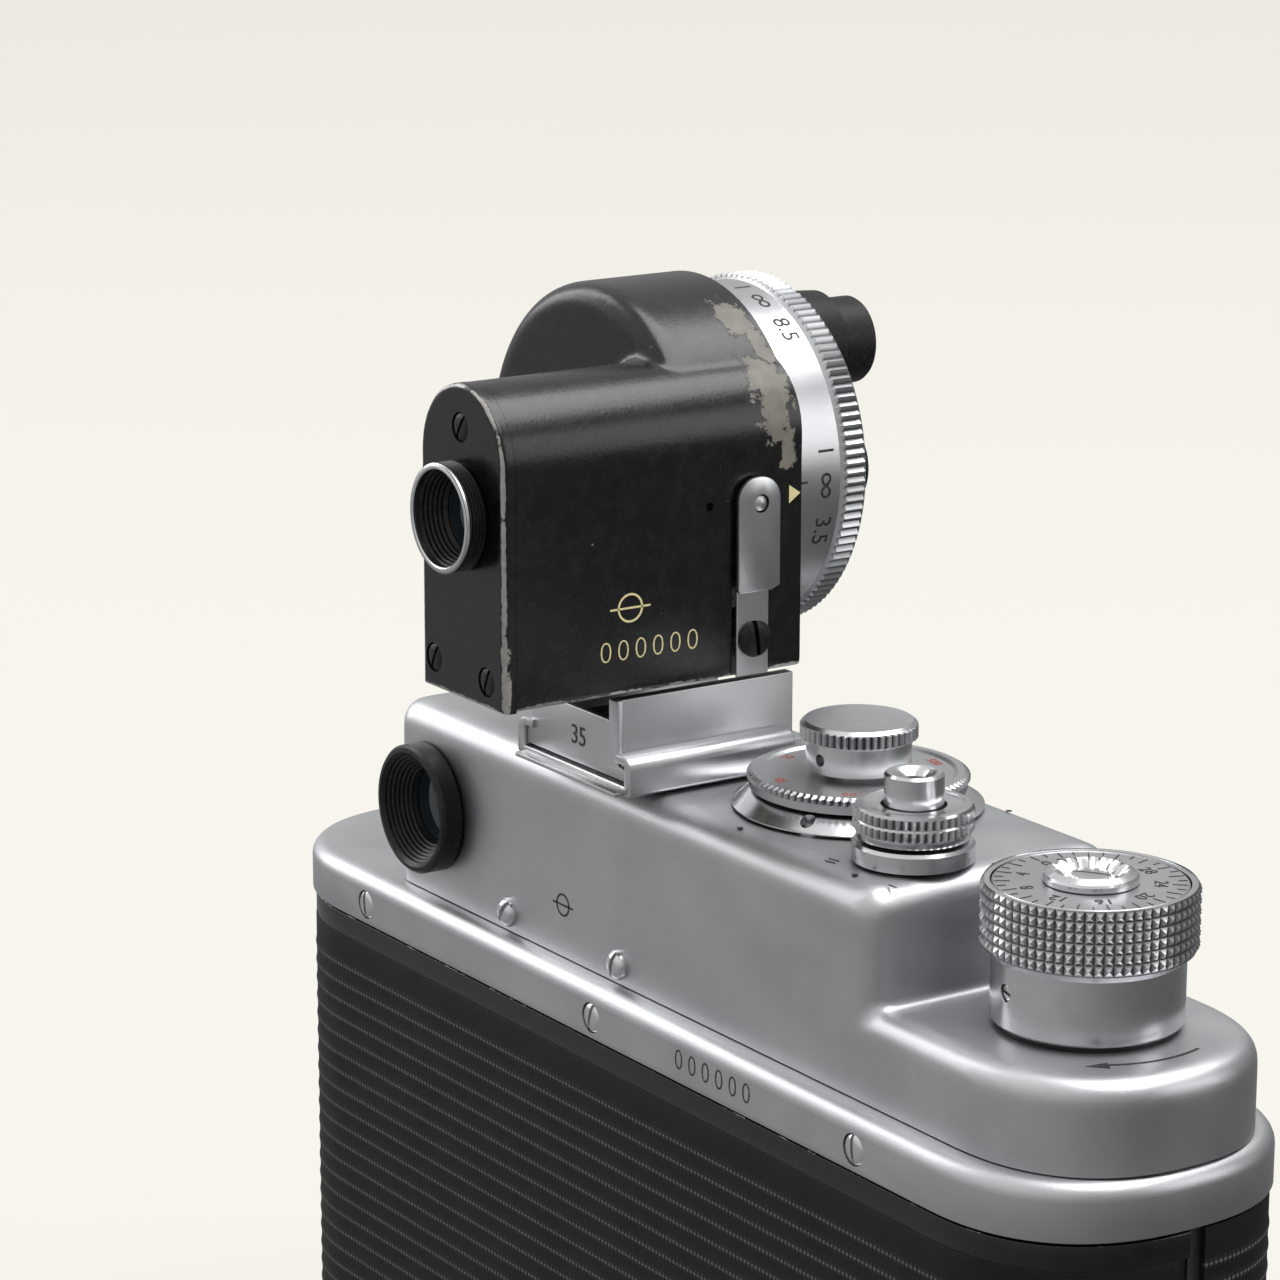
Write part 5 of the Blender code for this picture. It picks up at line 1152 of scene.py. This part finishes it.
def make_detent():
    low, high = cad("detent_spring")
    outer, inner = low.x, high.x
    shoulder = CAP_LOW.z + 8.8
    top = high.z
    leaf = [(-1.6, CAP_LOW.z + 0.1), (2.35, CAP_LOW.z + 0.1), (2.35, shoulder), (2.5, shoulder + 0.4)]
    for centre, first in ((2.5 - 2.4, 0), (-2.6 + 2.4, 90)):
        leaf += arc(2.4, first, first + 90, 8, centre, top - 2.4)
    leaf += [(-2.6, shoulder + 0.4), (-1.6, shoulder)]
    upper = slab([point for point in leaf if point[1] > shoulder - 0.1], outer - 0.25, outer + 0.3, "X")
    soften(upper, 0.12, 2, 40)
    lower = slab(
        [(-1.5, CAP_LOW.z + 0.1), (2.4, CAP_LOW.z + 0.1), (2.4, shoulder + 1), (-1.5, shoulder + 1)],
        outer + 0.15, inner, "X")
    soften(lower, 0.08, 1, 40)
    pin_hole = faced(rod(0.95, -1, 1, 32), (outer, *DETENT), "RIGHT")
    leaf_shape = merged(carved(upper, pin_hole), lower)
    finished(
        "leaf_spring", leaf_shape, "turret_finder", SPRING_STEEL, "bright_chrome", "detent_spring",
        smooth=30.0)
    pin = faced(
        spun([(0, 0.35), (0.45, 0.28), (0.8, 0.0), (0.8, -0.9), (0, -0.9)], 32), (outer, *DETENT),
        "RIGHT")
    finished("detent_pin", pin, "turret_finder", SATIN, "bright_chrome")
    screw = faced(screw_head(1.9, 0.95, 0.5, 8, 0.35), (inner - 0.1, 0.3, CAP_LOW.z + 3.9), "RIGHT")
    finished("leaf_screw", screw, "turret_finder", ANODISED, "black_anodised", "detent_screw")
    triangle = [(-4.35, 112.2), (-5.75, 113.15), (-4.35, 114.1)]
    mark = slab(triangle, CAP_LOW.x - 0.03, CAP_LOW.x + 0.1, "X")
    finished("index_triangle", mark, "turret_finder", GOLD_FILL, "black_anodised")
    ring = spun([(1.5, FILL), (1.5, -0.1), (1.28, -0.1), (1.28, FILL)], 40)
    bar = block((-2.4, -0.1, -0.1), (2.4, 0.1, FILL))
    mark = faced(merged(ring, turned_by(bar, 90)), (CAP_LOW.x, 14.9, 103.9), "RIGHT")
    number = faced(
        turned_by(figures("000000", 3.2, spacing=1.3, thinner=0.07), 90), (CAP_LOW.x, 12.6, 99.8),
        "RIGHT")
    finished("finder_mark", merged(mark, number), "turret_finder", GOLD_FILL, "black_anodised")


def make_turret():
    low, high = RING_LOW, RING_HIGH
    rim = (high.x - low.x) / 2
    band = rim - 0.64
    front, back = -low.y, -high.y
    knurl_back = front - 2.9
    shell = band - 1.5
    plate_back = front - 2.0
    profile = [
        (2.3, front - 0.15), (rim - 1.5, front - 0.15), (rim - 1.1, front), (rim - 0.45, front),
        (rim, front - 0.4), (rim, front - 1.1), (rim, knurl_back + 0.35),
        (band + 0.1, knurl_back - 0.1), (band, knurl_back - 0.2), (band, back + 0.3),
        (band - 0.2, back), (shell, back), (shell, plate_back), (2.3, plate_back)]
    wheel = faced(
        knurled(profile, 118, 0.36, knurl_back + 0.3, front - 0.39, None, rim), (TURRET_X, 0, TURRET_Z),
        "FRONT")
    tubes = [middle("turret_lens_%d" % (index + 1)) for index in range(5)]
    holes = [faced(rod(4.9, -9, 9, 40), (tube.x, low.y, tube.z), "FRONT") for tube in tubes]
    wheel = carved(wheel, *holes)
    finished("turret_wheel", wheel, "finder_turret", SATIN_FINE, "satin_chrome", "turret_ring", smooth=32.0)
    marks = []
    middle_of_band = knurl_back - 2.0
    for index, label in enumerate(("3.5", "8.5", "13.5", "5", "2.8")):
        angle = 72.0 * index
        word = merged(
            moved(figures(label, 2.8), 5.6), moved(figures("1", 2.8), -3.0),
            moved(figures("∞", 3.2), 0.6))
        word = wrapped(word, band)
        marks.append(turned_by(moved(word, 0, 0, middle_of_band), 180 - angle))
    for index in range(5):
        tick = wrapped(block((-0.12, -0.8, -0.02), (0.12, 0.4, 0.02)), band)
        marks.append(turned_by(moved(tick, 0, 0, back + 1.1), 180 - 72.0 * index))
    marks = faced(merged(*marks), (TURRET_X, 0, TURRET_Z), "FRONT")
    finished("turret_figures", marks, "finder_turret", BLACK_FILL, "black_anodised")
    for index, spot in enumerate(tubes):
        node = "turret_lens_%d" % (index + 1)
        reach = -cad(node)[0].y
        seat = front + 0.3
        collar = seat + min(4.0, reach - front - 1.6)
        profile = [
            (3.3, reach - 1.6), (3.9, reach - 0.05), (4.2, reach), (4.45, reach - 0.1),
            (4.6, reach - 0.35), (4.6, collar + 0.55), (4.7, collar + 0.4), (5.3, collar),
            (5.55, collar - 0.15), (5.8, seat + 0.2), (5.8, seat), (4.6, seat), (4.6, plate_back),
            (3.3, plate_back)]
        tube = spun(profile, 64)
        finished(
            "viewing_tube_%d" % (index + 1), faced(tube, (spot.x, 0, spot.z), "FRONT"), "finder_turret",
            LENS_TUBE, "black_anodised", node, smooth=25.0)
        glass = spun([(0, 0.5), (1.8, 0.35), (3.3, -0.2), (3.3, -1.0), (0, -1.0)], 40)
        finished(
            "viewing_glass_%d" % (index + 1), faced(glass, (spot.x, 2.0 - reach, spot.z), "FRONT"),
            "finder_turret", GLASS, "optical_glass")


# ---- lens
def make_lens():
    axis = middle("lens_mount_ring")
    place = (0, 0, axis.z)
    low, high = cad("lens_mount_ring")
    outer = (high.x - low.x) / 2
    mount = [
        (outer - 0.4, -low.y), (outer, -low.y - 0.4), (outer, -high.y), (19.4, -high.y), (19.4, -low.y)]
    finished(
        "lens_flange", faced(spun(mount, 128), place, "FRONT"), "camera_body", SATIN_FINE,
        "satin_chrome", "lens_mount_ring", smooth=30.0)
    for index, (x, z) in enumerate(((14.5, 14.5), (-14.5, 14.5), (14.5, -14.5), (-14.5, -14.5))):
        reach = 20.5 / math.hypot(x, z)
        head = faced(
            screw_head(0.7, 0.25, 0.25, 30 + 40 * index, 0.1),
            (x * reach, low.y + 0.1, axis.z + z * reach), "FRONT")
        finished("flange_screw_%d" % (index + 1), head, "camera_body", BRIGHT, "bright_chrome")
    low, high = cad("lens_base")
    outer = (high.x - low.x) / 2
    front = -low.y
    seat = front - 4.9
    base = [
        (outer - 0.3, front), (outer, front - 0.3), (outer, seat), (19.1, seat), (19.1, -high.y),
        (16.5, -high.y), (16.5, front)]
    finished(
        "depth_scale_ring", faced(spun(base, 128), place, "FRONT"), "camera_body", SATIN_FINE,
        "satin_chrome", "lens_base", smooth=30.0)
    marks = [wrapped(block((-0.11, 0.0, -0.02), (0.11, 1.7, 0.02)), outer)]
    marks = [turned_by(moved(marks[0], 0, 0, front - 1.9), -90)]
    for index, label in enumerate(("4", "8", "11", "16", "22")):
        for sign in (-1, 1):
            angle = -90 + sign * (7 + 7 * index)
            line = moved(wrapped(block((-0.08, 0.0, -0.02), (0.08, 1.1, 0.02)), outer), 0, 0, front - 1.3)
            marks.append(turned_by(line, angle))
            figure = moved(wrapped(turned_by(figures(label, 1.5), 180), outer), 0, 0, front - 2.5)
            marks.append(turned_by(figure, angle))
    marks = faced(merged(*marks), place, "FRONT")
    finished("depth_figures", turned_about(marks, place, 180), "camera_body", BLACK_FILL, "black_anodised")
    low, high = cad("focus_ring")
    outer = (high.x - low.x) / 2
    front, back = -low.y, -high.y
    profile = [(16.5, front), (outer - 0.6, front), (outer - 0.2, front - 0.35)]
    rows = [front - 0.5, front - 2.9, back + 3.4]
    profile += [(outer, level) for level in rows]
    profile += [(outer - 0.5, back + 3.1), (outer - 0.5, back + 0.2), (outer - 0.7, back), (16.5, back)]
    grip = knurled(profile, 72, 0.5, back + 3.35, front - 0.45, None, outer)
    finished(
        "focus_grip", faced(grip, place, "FRONT"), "focus_ring", SATIN_FINE, "satin_chrome",
        "focus_ring", smooth=30.0)
    marks = []
    for index, label in enumerate(("∞", "10", "5", "3", "2", "1.5", "1.2", "1")):
        figure = moved(wrapped(turned_by(figures(label, 1.8), 180), outer - 0.5), 0, 0, back + 1.7)
        marks.append(turned_by(figure, 90 - 22 * index))
    finished(
        "distance_figures", faced(merged(*marks), place, "FRONT"), "focus_ring", BLACK_FILL,
        "black_anodised")
    low, high = cad("lens_head")
    outer = (high.x - low.x) / 2
    front, back = -low.y, -high.y
    head_back = -cad("focus_ring")[0].y + 0.3
    sleeve, bore = 16.2, 14.5
    profile = [
        (bore + 1.2, front - 1.2), (outer - 2.2, front), (outer - 0.6, front - 0.15),
        (outer, front - 0.8), (outer, head_back), (sleeve, head_back), (sleeve, back), (bore, back),
        (bore, front - 9.2), (10.2, front - 8.8), (10.2, front - 7.2), (13.4, front - 4.8),
        (14.0, front - 3.2)]
    finished(
        "lens_barrel", faced(spun(profile, 128), place, "FRONT"), "lens_head", SATIN_FINE,
        "satin_chrome", "lens_head", smooth=30.0)
    cone = [
        (14.2, front - 1.3), (14.2, front - 3.3), (13.2, front - 4.9), (10.4, front - 6.9),
        (10.2, front - 6.7), (13.0, front - 4.5), (13.9, front - 3.2), (13.9, front - 1.3)]
    finished(
        "lens_cone", faced(spun(cone, 128), place, "FRONT"), "lens_head", ANODISED, "black_anodised",
        smooth=30.0)
    low, high = cad("aperture_ring")
    outer = (high.x - low.x) / 2
    front, back = -low.y, -high.y
    inner = outer - 1.2
    profile = [
        (inner, front), (outer - 0.4, front), (outer, front - 0.35), (outer, back + 1.4),
        (outer - 0.3, back + 1.2), (outer - 0.3, back + 0.1), (outer - 0.5, back), (inner, back)]
    grip = knurled(profile, 90, 0.35, back + 1.35, front - 0.3, None, outer)
    finished(
        "aperture_grip", faced(grip, place, "FRONT"), "aperture_ring", BRIGHT, "bright_chrome",
        "aperture_ring", smooth=30.0)
    front, radius = -cad("front_lens")[0].y, 9.9
    glass = spun(
        [
            (0, front), (3.5, front - 0.35), (6.8, front - 1.5), (radius, front - 3.6),
            (radius, front - 6), (0, front - 6)])
    finished("front_glass", faced(glass, place, "FRONT"), "lens_head", GLASS, "optical_glass", "front_lens")


def turned_about(shape, place, degrees, axis="Y"):
    bmesh.ops.rotate(
        shape, cent=place, matrix=Matrix.Rotation(math.radians(degrees), 3, axis), verts=shape.verts)
    return shape


# ---- small parts on the front and underside
def make_small_parts():
    low, high = cad("self_timer_lever")
    axis = middle("self_timer_lever")
    hub_z = high.z - 5.2
    front = -low.y
    hub = spun([(0, front - 0.2), (2.0, front - 0.2), (2.3, front), (4.4, front), (5.2, front - 0.7),
                (5.2, -high.y), (0, -high.y)], 64)
    length = hub_z - low.z
    paddle = arc(2.6, 180, 360, 12, 0, 2.6 - length)
    arm = slab(paddle + [(1.9, -2), (-1.9, -2)], -front + 0.5, -front + 1.9, "Y")
    soften(arm, 0.35, 2, 40)
    lever = merged(faced(hub, (0, 0, 0), "FRONT"), arm)
    finished("timer_lever", moved(lever, axis.x, 0, hub_z), "self_timer_lever", BRIGHT, "bright_chrome",
             "self_timer_lever", smooth=30.0)
    for side in ("left", "right"):
        node = "lock_disc_" + side
        low, high = cad(node)
        x = (low.x + high.x) / 2
        disc = spun([(0, 1.7), (8, 1.7), (8, 0.5), (7.7, 0.2), (0, 0.2)], 96)
        moon = [(6.7, -0.7)] + arc(6.7, 0, 180, 20) + [(-6.7, -0.7)]
        disc = carved(disc, slab(moon, -1, 1.3))
        stem = merged(rod(2.5, 1.6, 5.5, 40), block((-1.5, -6, 4.1), (1.5, 1.5, 5.3)))
        finished(
            "lock_key_" + side, moved(merged(disc, stem), x), "lock_" + side, BRIGHT, "bright_chrome",
            node, smooth=30.0)


def dress_packed_nodes():
    """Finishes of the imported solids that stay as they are."""
    looks = {
        CASTING: ("chassis",), CLOTH: ("shutter_curtain",),
        BRIGHT: (
            "rewind_sleeve", "rewind_fork", "speed_shaft", "sync_socket", "tripod_bush",
            "lock_handle_left", "lock_handle_right", "turret_spindle", "pressure_spring",
            "sprocket_drum"),
        SATIN: ("dioptre_lever",), BODY_ENAMEL: ("pressure_plate",), ANODISED: ("takeup_spool",),
        CLEAR_GLASS: (
            "viewfinder_window", "rangefinder_window", "viewfinder_prism", "finder_prism", "rear_lens"),}
    for look, names in looks.items():
        for name in names:
            piece = NODES[name]
            piece.data.materials.clear()
            piece.data.materials.append(look)


make_deck()
housing_side = make_housing()
make_engravings(housing_side)
make_back_shell()
make_coverings()
make_winding_knob()
make_rewind()
make_speed_dial()
make_release()
make_eyepiece()
make_shoe()
make_finder()
make_detent()
make_turret()
make_lens()
make_small_parts()
dress_packed_nodes()


# ---- studio
def make_backdrop():
    """Pale floor that sweeps up into a wall all round."""
    reach, height, sweep = 2.2, 1.8, 0.8
    shape = bmesh.new()
    outline = [(0, 0)] + arc(sweep, -90, 0, 8, reach - sweep, sweep) + [(reach, height)]
    points = [shape.verts.new((x, 0, z)) for x, z in outline]
    edges = [shape.edges.new(pair) for pair in zip(points, points[1:])]
    bmesh.ops.spin(shape, geom=points + edges, cent=(0, 0, 0), axis=(0, 0, 1), angle=math.tau, steps=96,
                   use_merge=True, use_duplicate=False)
    tidied(shape)
    bmesh.ops.reverse_faces(shape, faces=shape.faces)
    mesh = bpy.data.meshes.new("backdrop")
    shape.to_mesh(mesh)
    shape.free()
    mesh.shade_smooth()
    backdrop = bpy.data.objects.new("backdrop", mesh)
    bpy.context.scene.collection.objects.link(backdrop)
    paper = {"Base_Color": linear("#5f5e5a"), "Emission_Color": linear("#f4f2ea"), "Emission_Strength": 0.78}
    mesh.materials.append(material("studio_paper", Roughness=0.9, **paper)[0])
    backdrop.visible_glossy = False


def softbox(name, place, target, size, watts):
    """Rectangular lamp at a place, aimed at a target, in metres."""
    light = bpy.data.lights.new(name, "AREA")
    light.shape = "RECTANGLE"
    light.size, light.size_y = size
    light.energy = watts
    lamp = bpy.data.objects.new(name, light)
    lamp.location = place
    lamp.rotation_euler = (Vector(target) - Vector(place)).to_track_quat("-Z", "Y").to_euler()
    lamp.visible_camera = False
    bpy.context.scene.collection.objects.link(lamp)


def make_studio():
    make_backdrop()
    softbox("overhead", (-0.15, -0.25, 0.95), (0, 0, 0.08), (0.9, 0.7), 9.5)
    softbox("left_strip", (0.85, 0.35, 0.55), (0, 0, 0.08), (0.35, 0.9), 3.6)
    softbox("right_fill", (-0.9, -0.75, 0.45), (0, 0, 0.08), (0.5, 0.7), 2.2)
    world = bpy.data.worlds.new("studio")
    bpy.context.scene.world = world
    world.use_nodes = True
    tree = world.node_tree
    direction = add(tree, "TexCoord", {}, "Generated")
    height = add(tree, "SeparateXYZ", {0: direction}, "Z")
    level = add(tree, "Math", {0: height, 1: 0.5, 2: 0.5}, operation="MULTIPLY_ADD")
    lean = add(tree, "VectorMath", {0: direction, 1: (0.28, 0.42, 0.0)}, "Value", operation="DOT_PRODUCT")
    sky = ((0.0, 0.22), (0.44, 0.30), (0.56, 0.48), (0.80, 0.70), (1.0, 0.8))
    glow = [(place, grey(value)) for place, value in sky]
    plug(tree, tree.nodes["Background"], {
        "Color": add(tree, "ValToRGB", {"Fac": level}, stops=glow),
        "Strength": add(tree, "Math", {0: lean, 1: 0.92}, operation="ADD"),
    })


CAMERA_PLACE = (-0.35144, 0.24796, 0.20717)  # metres


def make_camera():
    """Close three-quarter view from behind the winding end."""
    azimuth, elevation, roll = math.radians(56.273), math.radians(14.199), math.radians(0.10)
    back = Vector(
        (
            -math.sin(azimuth) * math.cos(elevation), math.cos(azimuth) * math.cos(elevation),
            math.sin(elevation)))
    right = Vector((-math.cos(azimuth), -math.sin(azimuth), 0.0))
    up = back.cross(right)
    turn = Matrix((right, up, back)).transposed() @ Matrix.Rotation(roll, 3, "Z")
    data = bpy.data.cameras.new("view")
    data.sensor_width = 36.0
    data.lens = 122.83
    data.clip_start, data.clip_end = 0.01, 20.0
    camera = bpy.data.objects.new("view", data)
    camera.matrix_world = Matrix.Translation(CAMERA_PLACE) @ turn.to_4x4()
    bpy.context.scene.collection.objects.link(camera)
    bpy.context.scene.camera = camera


make_studio()
make_camera()
bpy.context.scene.view_settings.view_transform = "Standard"
